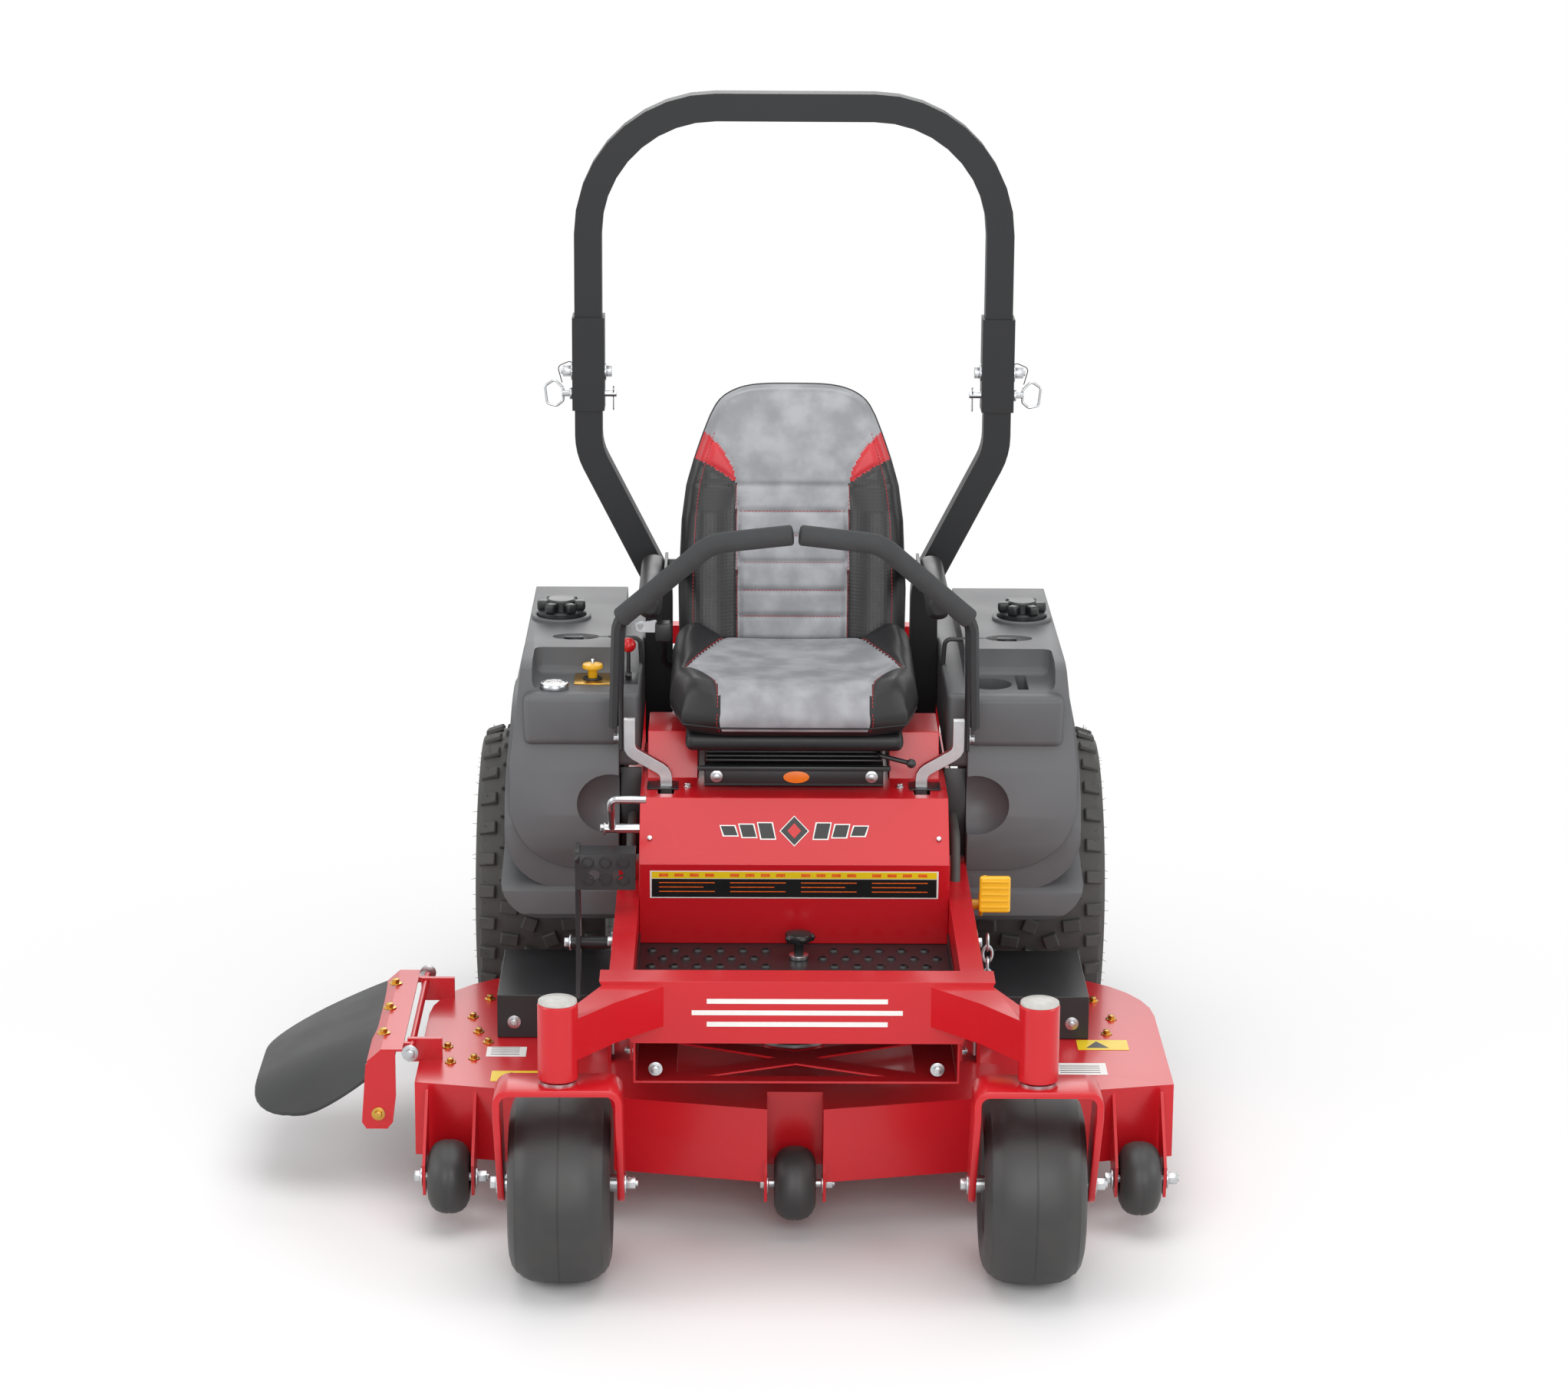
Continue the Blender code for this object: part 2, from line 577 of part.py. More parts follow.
def build_power_unit():
    """Engine, its shroud, the muffler and the two wheel drives."""
    base = RAIL_TOP + GAP
    front = WHEELBASE + 0.030
    back = WHEELBASE + 0.310
    block = node("engine_block", box((-0.110, front, base), (0.110, back, base + 0.150), 0.008),
                 ALLOY)
    cylinders = []
    for side in SIDES.values():
        head = box((0.085, front + 0.060, base + 0.030), (0.190, back - 0.060, base + 0.135), 0.010)
        cylinders.append(mirrored(head, side))
    combine(block, "UNION", cylinders)
    shroud_base = base + 0.150 + GAP
    shroud = box((-0.215, front - 0.030, shroud_base), (0.215, back + 0.020, shroud_base + 0.160),
                 0.040, 3)
    part = node("engine_shroud", shroud, BLACK)
    intake = rod((0, WHEELBASE + 0.160, shroud_base + 0.150),
                 (0, WHEELBASE + 0.160, shroud_base + 0.205), 0.110, 28, 0.095)
    combine(part, "UNION", [intake])

    muffler_y = back + 0.085
    muffler_z = base + 0.075
    body = [(0, 0.120), (0.040, 0.120), (0.050, 0.110), (0.050, -0.110), (0.040, -0.120), (0, -0.120)]
    muffler = node("muffler", turned(body, (0, muffler_y, muffler_z), "X", 24), STEEL)
    pipes = [rod((x, back + GAP, muffler_z), (x, muffler_y, muffler_z), 0.014, 16)
             for x in (-0.060, 0.060)]
    combine(muffler, "UNION", pipes)

    for word, side in SIDES.items():
        face = DRIVE_TYRE_CENTRE + 0.008 - GAP
        motor = [(0, face), (0.048, face), (0.048, face - 0.035), (0.055, face - 0.040),
                 (0.055, 0.200), (0, 0.200)]
        part = node(f"wheel_drive_{word}",
                    mirrored(turned(motor, (0, WHEELBASE, DRIVE_TYRE_RADIUS), "X", 24), side),
                    BLACK)
        bracket = box((RAIL_INNER + 0.006, WHEELBASE - 0.060, DRIVE_TYRE_RADIUS + 0.020),
                      (RAIL_OUTER - 0.006, WHEELBASE + 0.060, RAIL_BOTTOM - GAP))
        combine(part, "UNION", [mirrored(bracket, side)])


# -------------------------------------------------------------------- wheels
def ring_profile(half):
    """Closed ring from one half of a section, mirrored about the wheel's plane."""
    return half + [(radius, -width) for radius, width in reversed(half)]


def build_casters():
    """Swivelling forks with their stems and axles, and the smooth tyres."""
    half_width = CASTER_TYRE_WIDTH / 2
    leg_inner = half_width + FORK_SIDE_CLEARANCE
    leg_outer = leg_inner + FORK_PLATE
    stem_y = -CASTER_TRAIL
    front = stem_y - FORK_DEPTH / 2
    back = stem_y + FORK_DEPTH / 2
    axle_z = CASTER_TYRE_RADIUS
    foot = 0.030
    facets = 24
    for word, side in SIDES.items():
        x = side * CASTER_TRACK / 2
        stem_axis = (x, stem_y, 0)
        part = node(f"caster_fork_{word}",
                    box((x - leg_outer - 0.001, front - 0.001, FORK_TOP - FORK_PLATE),
                        (x + leg_outer + 0.001, back + 0.001, FORK_TOP)),
                    RED, pivot=stem_axis)
        leg = [(front, FORK_TOP - 0.002), (front, FORK_TOP - 0.060), (-foot, axle_z),
               *arc((0, axle_z), foot, 180, 360, 8)[1:], (back + 0.020, FORK_TOP - 0.110),
               (back, FORK_TOP - 0.060), (back, FORK_TOP - 0.002)]
        extras = []
        for hand in (-1, 1):
            low = min(hand * leg_inner, hand * leg_outer)
            extras.append(prism(leg, "X", x + low, x + low + FORK_PLATE))
            extras.append(rod((x + hand * (leg_outer - 0.001), 0, axle_z),
                              (x + hand * (leg_outer + 0.009), 0, axle_z), 0.012, 6))
        extras.append(rod((x - leg_outer + 0.002, 0, axle_z), (x + leg_outer - 0.002, 0, axle_z),
                          AXLE_RADIUS, 16))
        stem = [(0, HEAD_TOP - 0.017), (STEM_RADIUS, HEAD_TOP - 0.017),
                (STEM_RADIUS, HEAD_BOTTOM - GAP), (STEM_COLLAR_RADIUS, HEAD_BOTTOM - GAP),
                (STEM_COLLAR_RADIUS, FORK_TOP - 0.002), (0, FORK_TOP - 0.002)]
        extras.append(turned(stem, stem_axis, steps=24))
        combine(part, "UNION", extras)

        centre = (x, 0, axle_z)
        bead = CASTER_RIM_RADIUS + GAP
        crown = CASTER_TYRE_RADIUS
        section = [(bead, 0.058), (bead + 0.034, half_width - 0.004), (crown - 0.025, half_width),
                   (crown - 0.008, half_width - 0.004), (crown, half_width - 0.020)]
        node(f"caster_tyre_{word}", turned(ring_profile(section)[::-1], centre, "X", facets),
             RUBBER, pivot=centre)
        bore = AXLE_RADIUS + GAP
        hub = leg_inner - 0.0005
        section = [(bore, hub), (0.022, hub), (0.022, 0.030), (CASTER_RIM_RADIUS - 0.010, 0.030),
                   (CASTER_RIM_RADIUS - 0.006, 0.058), (CASTER_RIM_RADIUS, 0.058)]
        node(f"caster_rim_{word}", turned(ring_profile(section)[::-1], centre, "X", facets),
             ZINC, pivot=centre)


def build_drive_wheels():
    """Driven rear wheels: tyre and dished steel rim."""
    half = DRIVE_TYRE_WIDTH / 2
    crown = DRIVE_TYRE_RADIUS
    facets = 32
    for word, side in SIDES.items():
        centre = (side * DRIVE_TYRE_CENTRE, WHEELBASE, DRIVE_TYRE_RADIUS)
        bead = DRIVE_RIM_RADIUS + GAP
        section = [(bead, 0.095), (bead + 0.047, half - 0.005), (crown - 0.040, half),
                   (crown - 0.015, half - 0.005), (crown - 0.003, half - 0.030), (crown, half - 0.075)]
        node(f"drive_tyre_{word}", turned(ring_profile(section)[::-1], centre, "X", facets),
             RUBBER, pivot=centre)
        dish = [(0, 0.020), (0.050, 0.020), (0.060, 0.030), (DRIVE_RIM_RADIUS - 0.027, 0.030),
                (DRIVE_RIM_RADIUS - 0.012, 0.095), (DRIVE_RIM_RADIUS, 0.095),
                (DRIVE_RIM_RADIUS, -0.095), (DRIVE_RIM_RADIUS - 0.012, -0.095),
                (DRIVE_RIM_RADIUS - 0.022, 0.020), (0.060, 0.014), (0.050, 0.008), (0, 0.008)]
        rim = turned(dish, (0, 0, 0), "X", facets)
        rim = mirrored(rim, side)
        rim.transform(Matrix.Translation(centre))
        node(f"drive_rim_{word}", rim, BLACK, pivot=centre)


# ---------------------------------------------------------------------- seat
def build_seat():
    """Seat base with its tilt edge, cushion, back and armrests."""
    hinge = (0, LEVER_Y, CONSOLE_TOP + GAP)
    pan_back = SEAT_FRONT + SEAT_DEPTH - 0.050
    base = node("seat_base", box((-0.160, LEVER_Y, hinge[2]), (0.160, pan_back, hinge[2] + 0.040)),
                BLACK, pivot=hinge)
    waist = box((-0.150, LEVER_Y + 0.020, hinge[2] + 0.030),
                (0.150, pan_back - 0.010, hinge[2] + 0.090))
    pan = box((-0.190, SEAT_FRONT + 0.040, hinge[2] + 0.084),
              (0.190, pan_back + 0.010, CUSHION_BOTTOM - GAP), 0.010)
    combine(base, "UNION", [waist, pan])

    pivot = (0, LEVER_Y, CUSHION_BOTTOM)
    cushion = box((-SEAT_HALF_WIDTH, SEAT_FRONT, CUSHION_BOTTOM),
                  (SEAT_HALF_WIDTH, SEAT_FRONT + SEAT_DEPTH, CUSHION_TOP), 0.022, 2)
    node("seat_cushion", cushion, VINYL, pivot=pivot)

    wide = BACK_HALF_WIDTH
    right = [(wide - 0.018, 0), (wide, 0.110), (wide, 0.290), (wide - 0.025, 0.390),
             (wide - 0.060, 0.470), (wide - 0.095, BACK_HEIGHT)]
    outline = right + [(-x, height) for x, height in reversed(right)]
    back = prism(outline, "Y", 0, BACK_THICKNESS)
    back.transform(Matrix.Translation((0, BACK_FOOT_Y, BACK_FOOT_Z))
                   @ Matrix.Rotation(-BACK_RECLINE, 4, "X"))
    node("seat_back", back, VINYL, pivot=pivot)

    for word, side in SIDES.items():
        x, y, z = ARMREST_PIVOT
        pad = box((x + 0.0245, y - 0.330, z - 0.028), (x + 0.0695, y + 0.018, z + 0.028), 0.010)
        part = node(f"armrest_{word}", mirrored(pad, side), VINYL, pivot=(side * x, y, z))
        boss = rod((x + GAP, y, z - 0.005), (x + 0.030, y, z - 0.005), 0.014, 16)
        combine(part, "UNION", [mirrored(boss, side)])


# ------------------------------------------------------------------ controls
def build_steering():
    """Cranked levers, lap bars that swing outwards and their foam grips."""
    for word, side in SIDES.items():
        foot = (LEVER_FOOT_X, LEVER_PIVOT_Z)
        top_z = CONSOLE_TOP + 0.125
        path = rounded_path([(*foot, 0), (LEVER_FOOT_X, CONSOLE_TOP + 0.028, 0),
                             (LEVER_TOP_X, CONSOLE_TOP + 0.066, 0), (LEVER_TOP_X, top_z, 0)],
                            0.022, 3)
        strip = ribbon([(p.x, p.y) for p in path], LEVER_WIDTH / 2)
        pivot = (side * LEVER_FOOT_X, LEVER_Y, LEVER_PIVOT_Z)
        half = LEVER_THICKNESS / 2
        lever = node(f"lever_{word}", mirrored(prism(strip, "Y", LEVER_Y - half, LEVER_Y + half), side),
                     ZINC, pivot=pivot)
        shaft = rod((LEVER_FOOT_X, LEVER_Y, LEVER_PIVOT_Z),
                    (CONSOLE_HALF_WIDTH - SHEET - GAP, LEVER_Y, LEVER_PIVOT_Z), 0.012, 16)
        combine(lever, "UNION", [mirrored(shaft, side)])

        plate_x = LEVER_TOP_X + LEVER_WIDTH / 2 + GAP
        plate_low = CONSOLE_TOP + 0.070
        plate = box((plate_x, LEVER_Y - 0.020, plate_low),
                    (plate_x + 0.008, LEVER_Y + 0.020, plate_low + 0.138), 0.002)
        bar_pivot = (side * plate_x, LEVER_Y, plate_low)
        bar = node(f"lap_bar_{word}", mirrored(plate, side), BLACK, pivot=bar_pivot)
        tube_x = plate_x + 0.0135
        bend = (tube_x - 0.006, LEVER_Y - 0.028, CONSOLE_TOP + 0.312)
        elbow = (0.148, LEVER_Y - 0.075, CONSOLE_TOP + 0.462)
        tip = (0.010, LEVER_Y - 0.090, CONSOLE_TOP + 0.481)
        start = (tube_x, LEVER_Y, plate_low + 0.040)
        route = rounded_path([start, bend, elbow, tip], 0.050, 4)
        combine(bar, "UNION", [mirrored(tube(route, BAR_RADIUS), side)])

        cover = route[bend_start(route, bend):]
        end = (cover[-1] - cover[-2]).normalized()
        cover[-1] = cover[-1] + end * 0.0015
        grip = node(f"grip_{word}", mirrored(tube(cover, GRIP_RADIUS), side), FOAM, pivot=bar_pivot)
        route[-1] = route[-1] + end * 0.0005
        combine(grip, "DIFFERENCE", [mirrored(tube(route, BAR_RADIUS + GAP), side)])


def bend_start(route, corner):
    """First route point that lies past the given corner."""
    for index, place in enumerate(route):
        if place.z > corner[2] + 0.010:
            return index
    return len(route) - 2


def build_hand_controls():
    """Blade switch, throttle and the height lock handle."""
    shelf = CONSOLE_TOP + 0.148 + GAP
    centre = (-0.365, WHEELBASE - 0.400, shelf)
    knob = [(0, 0.040), (0.014, 0.040), (0.019, 0.035), (0.019, 0.027), (0.010, 0.024),
            (0.008, 0), (0, 0)]
    node("blade_switch", turned(knob, centre, steps=16), YELLOW, pivot=centre)

    pivot = (-0.3000, WHEELBASE - 0.385, shelf + 0.006)
    throttle = node("throttle_lever", rod((pivot[0] - 0.005, pivot[1], pivot[2]),
                                          (pivot[0] + 0.005, pivot[1], pivot[2]), 0.006, 16),
                    BLACK, pivot=pivot)
    stalk = rod(pivot, (pivot[0], pivot[1], pivot[2] + 0.050), 0.003, 8)
    knob_ball = ball((pivot[0], pivot[1], pivot[2] + 0.056), 0.014)
    combine(throttle, "UNION", [stalk, knob_ball])

    x = -(CONSOLE_HALF_WIDTH + 0.049)
    y = CONSOLE_FRONT + 0.070
    z = CONSOLE_TOP - 0.052
    pivot = (x, y, z)
    route = rounded_path([(x, y, z), (x, y - 0.070, z + 0.055), (x, y - 0.080, z + 0.076),
                          (x + 0.062, y - 0.080, z + 0.076)], 0.010, 3)
    handle = node("lock_handle", tube(route, 0.0065), ZINC, pivot=pivot)
    shaft = rod((x - 0.012, y, z), (-CONSOLE_HALF_WIDTH - GAP, y, z), 0.0085, 16)
    combine(handle, "UNION", [shaft])


def build_pedals():
    """Deck lift pedal on the right, parking brake pedal on the left."""
    pivot = (-(RAIL_OUTER + 0.065), CONSOLE_FRONT - 0.030, RAIL_TOP - 0.070)
    arm = [(pivot[1] - 0.024, pivot[2] - 0.004), (pivot[1] - 0.060, pivot[2] + 0.170),
           (pivot[1] - 0.056, pivot[2] + 0.188), (pivot[1] - 0.010, pivot[2] + 0.188),
           (pivot[1] + 0.024, pivot[2] + 0.004), (pivot[1] - 0.014, pivot[2] - 0.084),
           (pivot[1] - 0.046, pivot[2] - 0.088)]
    part = node("lift_pedal", prism(arm, "X", pivot[0] - 0.004, pivot[0] + 0.004), BLACK,
                pivot=pivot, smooth=False)
    pad_end = -CONSOLE_HALF_WIDTH - 0.004
    front = pivot[1] - 0.058
    pad = box((pivot[0] - 0.003, front, pivot[2] + 0.115), (pad_end, front + 0.005, pivot[2] + 0.182))
    ledge = box((pivot[0] - 0.003, front, pivot[2] + 0.177), (pad_end, front + 0.046, pivot[2] + 0.182))
    shaft = rod((pivot[0] - 0.014, pivot[1], pivot[2]), (-RAIL_OUTER - GAP, pivot[1], pivot[2]), 0.011, 16)
    combine(part, "UNION", [pad, ledge, shaft])
    holes = [rod((pad_end - offset, front - 0.01, pivot[2] + 0.142),
                 (pad_end - offset, front + 0.015, pivot[2] + 0.142), 0.010, 12)
             for offset in (0.030, 0.072)]
    combine(part, "DIFFERENCE", holes)

    pivot = (RAIL_OUTER + 0.020, CONSOLE_FRONT + 0.090, RAIL_TOP - 0.035)
    arm = [(pivot[1] + 0.016, pivot[2] - 0.012), (pivot[1] + 0.014, pivot[2] + 0.014),
           (pivot[1] - 0.130, pivot[2] + 0.095), (pivot[1] - 0.136, pivot[2] + 0.072),
           (pivot[1] - 0.020, pivot[2] - 0.016)]
    part = node("brake_pedal", prism(arm, "X", pivot[0] - 0.003, pivot[0] + 0.003), YELLOW,
                pivot=pivot, smooth=False)
    pad = box((pivot[0] - 0.010, pivot[1] - 0.146, pivot[2] + 0.030),
              (pivot[0] + 0.044, pivot[1] - 0.134, pivot[2] + 0.096), 0.003)
    shaft = rod((RAIL_OUTER + GAP, pivot[1], pivot[2]), (pivot[0] + 0.010, pivot[1], pivot[2]), 0.009, 16)
    combine(part, "UNION", [pad, shaft])


# ------------------------------------------------------------------ roll bar
def build_rops():
    """Lower posts and the hoop that folds back about their top ends."""
    half = ROPS_TUBE / 2
    for word, side in SIDES.items():
        foot = RAIL_TOP + GAP
        lean = 0.51
        bend_high = 1.165
        bend_low = bend_high - (ROPS_HALF_WIDTH - ROPS_FOOT_HALF_WIDTH) / lean
        path = rounded_path([(ROPS_FOOT_HALF_WIDTH, ROPS_Y, foot + 0.002),
                             (ROPS_FOOT_HALF_WIDTH, ROPS_Y, bend_low),
                             (ROPS_HALF_WIDTH, ROPS_Y, bend_high),
                             (ROPS_HALF_WIDTH, ROPS_Y, ROPS_HINGE)], 0.120, 4)
        post = node(f"rops_post_{word}", mirrored(square_tube(path, half), side), BLACK)
        nose = rod((ROPS_HALF_WIDTH - half + 0.0003, ROPS_Y, ROPS_HINGE),
                   (ROPS_HALF_WIDTH + half - 0.0003, ROPS_Y, ROPS_HINGE), half - 0.0002, 20)
        plate = box((ROPS_FOOT_HALF_WIDTH - 0.042, ROPS_Y - 0.052, foot),
                    (ROPS_FOOT_HALF_WIDTH + 0.042, ROPS_Y + 0.052, foot + 0.010))
        combine(post, "UNION", [mirrored(nose, side), mirrored(plate, side)])

    pivot = (0, ROPS_Y, ROPS_HINGE)
    crown = ROPS_TOP - half
    tube_start = ROPS_HINGE + half + 0.003
    corners = [(-ROPS_HALF_WIDTH, tube_start), (-ROPS_HALF_WIDTH, crown), (ROPS_HALF_WIDTH, crown),
               (ROPS_HALF_WIDTH, tube_start)]
    path = rounded_path([(x, ROPS_Y, z) for x, z in corners], ROPS_BEND_RADIUS, 9)
    hoop = node("rops_hoop", square_tube(path, half), BLACK, pivot=pivot)
    inner = half + GAP
    outer = half + SLEEVE_WALL
    low = ROPS_HINGE - 0.070
    high = ROPS_HINGE + 0.105
    sleeves = []
    for side in SIDES.values():
        x = side * ROPS_HALF_WIDTH
        channel = [(x - outer, ROPS_Y - outer), (x + outer, ROPS_Y - outer), (x + outer, ROPS_Y + outer),
                   (x + inner, ROPS_Y + outer), (x + inner, ROPS_Y - inner),
                   (x - inner, ROPS_Y - inner), (x - inner, ROPS_Y + outer),
                   (x - outer, ROPS_Y + outer)]
        sleeves.append(prism(channel, "Z", low, high))
        sleeves.append(box((x - outer + 0.001, ROPS_Y - outer + 0.001, tube_start + 0.001),
                           (x + outer - 0.001, ROPS_Y + outer - 0.001, high - 0.001)))
    combine(hoop, "UNION", sleeves)


# ---------------------------------------------------------------------- deck
def front_wall_y(x):
    """Front wall of the deck, swept back from the nose."""
    run = DECK_HALF_WIDTH - POCKET_HALF_WIDTH
    return DECK_FRONT + DECK_SWEEP * (abs(x) - POCKET_HALF_WIDTH) / run


def deck_outline(inset):
    """Plan of the deck, drawn anticlockwise and set in by the given distance."""
    half = DECK_HALF_WIDTH - inset
    tip = front_wall_y(DECK_HALF_WIDTH) + inset
    nose = DECK_FRONT + inset
    pocket = POCKET_HALF_WIDTH + inset
    corner = DECK_HALF_WIDTH - OUTER_SPINDLE_X - inset
    left_arc = arc((OUTER_SPINDLE_X, OUTER_SPINDLE_Y), corner, 0, 90, 8)
    right_arc = arc((-OUTER_SPINDLE_X, OUTER_SPINDLE_Y), corner, 90, 180, 8)
    return [(-half, tip), (-pocket, nose), (-pocket, POCKET_BACK + inset),
            (pocket, POCKET_BACK + inset), (pocket, nose), (half, tip), *left_arc, *right_arc]


def build_deck():
    """Cutting deck: pressed shell, roller brackets, spindle seats, chute ears."""
    shell = node("deck_shell", prism(deck_outline(0), "Z", DECK_RIM, DECK_TOP), RED, smooth=False)
    hollow = prism(deck_outline(DECK_WALL), "Z", DECK_RIM - 0.010, DECK_TOP - DECK_WALL)
    mouth_front = OUTER_SPINDLE_Y - 0.288
    mouth_back = OUTER_SPINDLE_Y + 0.142
    mouth = box((-DECK_HALF_WIDTH - 0.020, mouth_front, DECK_RIM - 0.010),
                (-DECK_HALF_WIDTH + 0.020, mouth_back, DECK_TOP - 0.027))
    combine(shell, "DIFFERENCE", [hollow, mouth])

    seats = [turned([(0, DECK_TOP + 0.010), (0.050, DECK_TOP + 0.010), (0.055, DECK_TOP + 0.004),
                     (0.055, DECK_TOP - 0.045), (0.040, DECK_TOP - 0.062), (0, DECK_TOP - 0.062)],
                    (x, y, 0), steps=24)
             for x, y in SPINDLES.values()]
    brackets = roller_bracket(0.0, NOSE_ROLLER_Y, POCKET_BACK + 0.002, 0.0125)
    for side in SIDES.values():
        x = side * OUTER_ROLLER_X
        wall = front_wall_y(OUTER_ROLLER_X - 0.045)
        brackets += roller_bracket(x, outer_roller_y(), wall + 0.012, 0.004)
    ear_x, ear_z = CHUTE_HINGE
    lugs = [mirrored(box((RAIL_OUTER + 0.006, LIFT_LINK_Y - 0.012, DECK_TOP - 0.003),
                         (RAIL_OUTER + 0.012, LIFT_LINK_Y + 0.036, DECK_TOP + 0.050)), side)
            for side in SIDES.values()]
    ears = [box((ear_x - 0.0085, y, DECK_TOP - 0.004), (ear_x + 0.052, y + 0.010, ear_z + 0.0085))
            for y in (mouth_front + 0.045, mouth_back - 0.055)]
    combine(shell, "UNION", seats + brackets + lugs + ears)
    bores = [rod((x, y, DECK_RIM + 0.020), (x, y, DECK_TOP + 0.030), 0.0155, 20)
             for x, y in SPINDLES.values()]
    pin_hole = rod((ear_x, mouth_front, ear_z), (ear_x, mouth_back, ear_z), 0.0063, 14)
    combine(shell, "DIFFERENCE", bores + [pin_hole])


def outer_roller_y():
    """Outer rollers sit just ahead of the swept front wall."""
    return front_wall_y(OUTER_ROLLER_X - ROLLER_WIDTH / 2) - ROLLER_RADIUS - 0.004


def roller_bracket(x, y, wall_y, side_room):
    """Two plates and the axle bolt that hold one roller."""
    inner = ROLLER_WIDTH / 2 + side_room - 0.0005
    plate = [(y - 0.022, ROLLER_HEIGHT - 0.026), (y + 0.022, ROLLER_HEIGHT - 0.026),
             (wall_y, DECK_RIM + 0.002), (wall_y, DECK_TOP - 0.007), (wall_y - 0.010, DECK_TOP - 0.007),
             (y - 0.030, ROLLER_HEIGHT + 0.030)]
    solids = [prism(plate, "X", x - inner - 0.005, x - inner),
              prism(plate, "X", x + inner, x + inner + 0.005)]
    solids.append(rod((x - inner - 0.012, y, ROLLER_HEIGHT), (x + inner + 0.012, y, ROLLER_HEIGHT),
                      0.0062, 14))
    return solids


def build_rollers():
    """Anti-scalp rollers, free on their bolts."""
    half = ROLLER_WIDTH / 2
    section = [(0.0065, half), (0.044, half), (0.056, half - 0.006), (ROLLER_RADIUS - 0.0015, half - 0.017),
               (ROLLER_RADIUS, half - 0.026)]
    places = {"left": (OUTER_ROLLER_X, outer_roller_y()), "centre": (0.0, NOSE_ROLLER_Y),
              "right": (-OUTER_ROLLER_X, outer_roller_y())}
    for word, (x, y) in places.items():
        centre = (x, y, ROLLER_HEIGHT)
        node(f"roller_{word}", turned(ring_profile(section)[::-1], centre, "X", 20), PLASTIC,
             pivot=centre)


def build_cutters():
    """Blades, spindles with their pulleys, and the belt round them."""
    blade_top = DECK_RIM + 0.018
    blade_bottom = blade_top - 0.006
    shoulder = blade_top + GAP
    groove_low = DECK_TOP + 0.025
    groove_high = groove_low + 0.016
    for word, (x, y) in SPINDLES.items():
        centre = (x, y, blade_top)
        half = 0.030
        reach = math.sqrt(BLADE_RADIUS ** 2 - half ** 2)
        plan = [(x - reach, y - half), (x + reach, y - half), (x + reach, y + half), (x - reach, y + half)]
        blade = node(f"blade_{word}", prism(plan, "Z", blade_bottom, blade_top), STEEL,
                     pivot=centre, smooth=False)
        sails = [box((x + reach - 0.090, y + 0.016, blade_top - 0.002),
                     (x + reach - 0.010, y + half - 0.001, blade_top + 0.016)),
                 box((x - reach + 0.010, y - half + 0.001, blade_top - 0.002),
                     (x - reach + 0.090, y - 0.016, blade_top + 0.016)),
                 rod((x, y, blade_bottom - 0.010), (x, y, blade_top - 0.001), 0.016, 6)]
        combine(blade, "UNION", sails)
        shaft = [(0, groove_high + 0.020), (0.013, groove_high + 0.020), (0.013, groove_high + 0.007),
                 (PULLEY_RADIUS, groove_high + 0.007), (PULLEY_RADIUS, groove_high),
                 (BELT_INNER_RADIUS - 0.0005, groove_high - 0.003), (BELT_INNER_RADIUS - 0.0005, groove_low + 0.003),
                 (PULLEY_RADIUS, groove_low), (PULLEY_RADIUS, groove_low - 0.007),
                 (0.0149, groove_low - 0.007), (0.0149, DECK_TOP - 0.063), (0.030, DECK_TOP - 0.063),
                 (0.030, shoulder), (0, shoulder)]
        node(f"spindle_{word}", turned(shaft, (x, y, 0), steps=20), ALLOY, pivot=(x, y, shoulder))
    outer = belt_loop(BELT_INNER_RADIUS + BELT_DEPTH)
    inner = belt_loop(BELT_INNER_RADIUS)
    node("deck_belt", prism(outer, "Z", groove_low + 0.0035, groove_high - 0.0035, [inner]),
         RUBBER, smooth=False)


def belt_loop(radius):
    """Belt line round the three pulleys, offset by the given radius."""
    order = [Vector(SPINDLES[word]) for word in ("centre", "left", "right")]
    steps = 8
    loop = []
    for index, centre in enumerate(order):
        along_in = centre - order[index - 1]
        along_out = order[(index + 1) % 3] - centre
        start = math.degrees(math.atan2(along_in.y, along_in.x)) - 90
        turn = (math.degrees(math.atan2(along_out.y, along_out.x)) - 90 - start) % 360
        clear = radius / math.cos(math.radians(turn / steps / 2))
        loop += arc(centre, clear, start, start + turn, steps)
    return loop


def build_belt_covers():
    """Folded sheet covers over the outer pulleys, open underneath and inwards."""
    for word, side in SIDES.items():
        x = OUTER_SPINDLE_X
        y = OUTER_SPINDLE_Y
        low = (x - 0.105, y - 0.128, DECK_TOP + GAP)
        high = (x + 0.105, y + 0.132, DECK_TOP + 0.080)
        part = node(f"belt_cover_{word}", mirrored(box(low, high), side), BLACK, smooth=False)
        room = box((low[0] - 0.010, low[1] + SHEET, low[2] - 0.010),
                   (high[0] - SHEET, high[1] - SHEET, high[2] - SHEET))
        combine(part, "DIFFERENCE", [mirrored(room, side)])


def build_lift_links():
    """Straps that hang the deck beside the rails."""
    for word, side in SIDES.items():
        low = (RAIL_OUTER + GAP, LIFT_LINK_Y, DECK_TOP + 0.008)
        high = (RAIL_OUTER + 0.006 - GAP, LIFT_LINK_Y + 0.024, RAIL_BOTTOM + 0.070)
        node(f"lift_link_{word}", mirrored(box(low, high), side), ZINC, smooth=False)


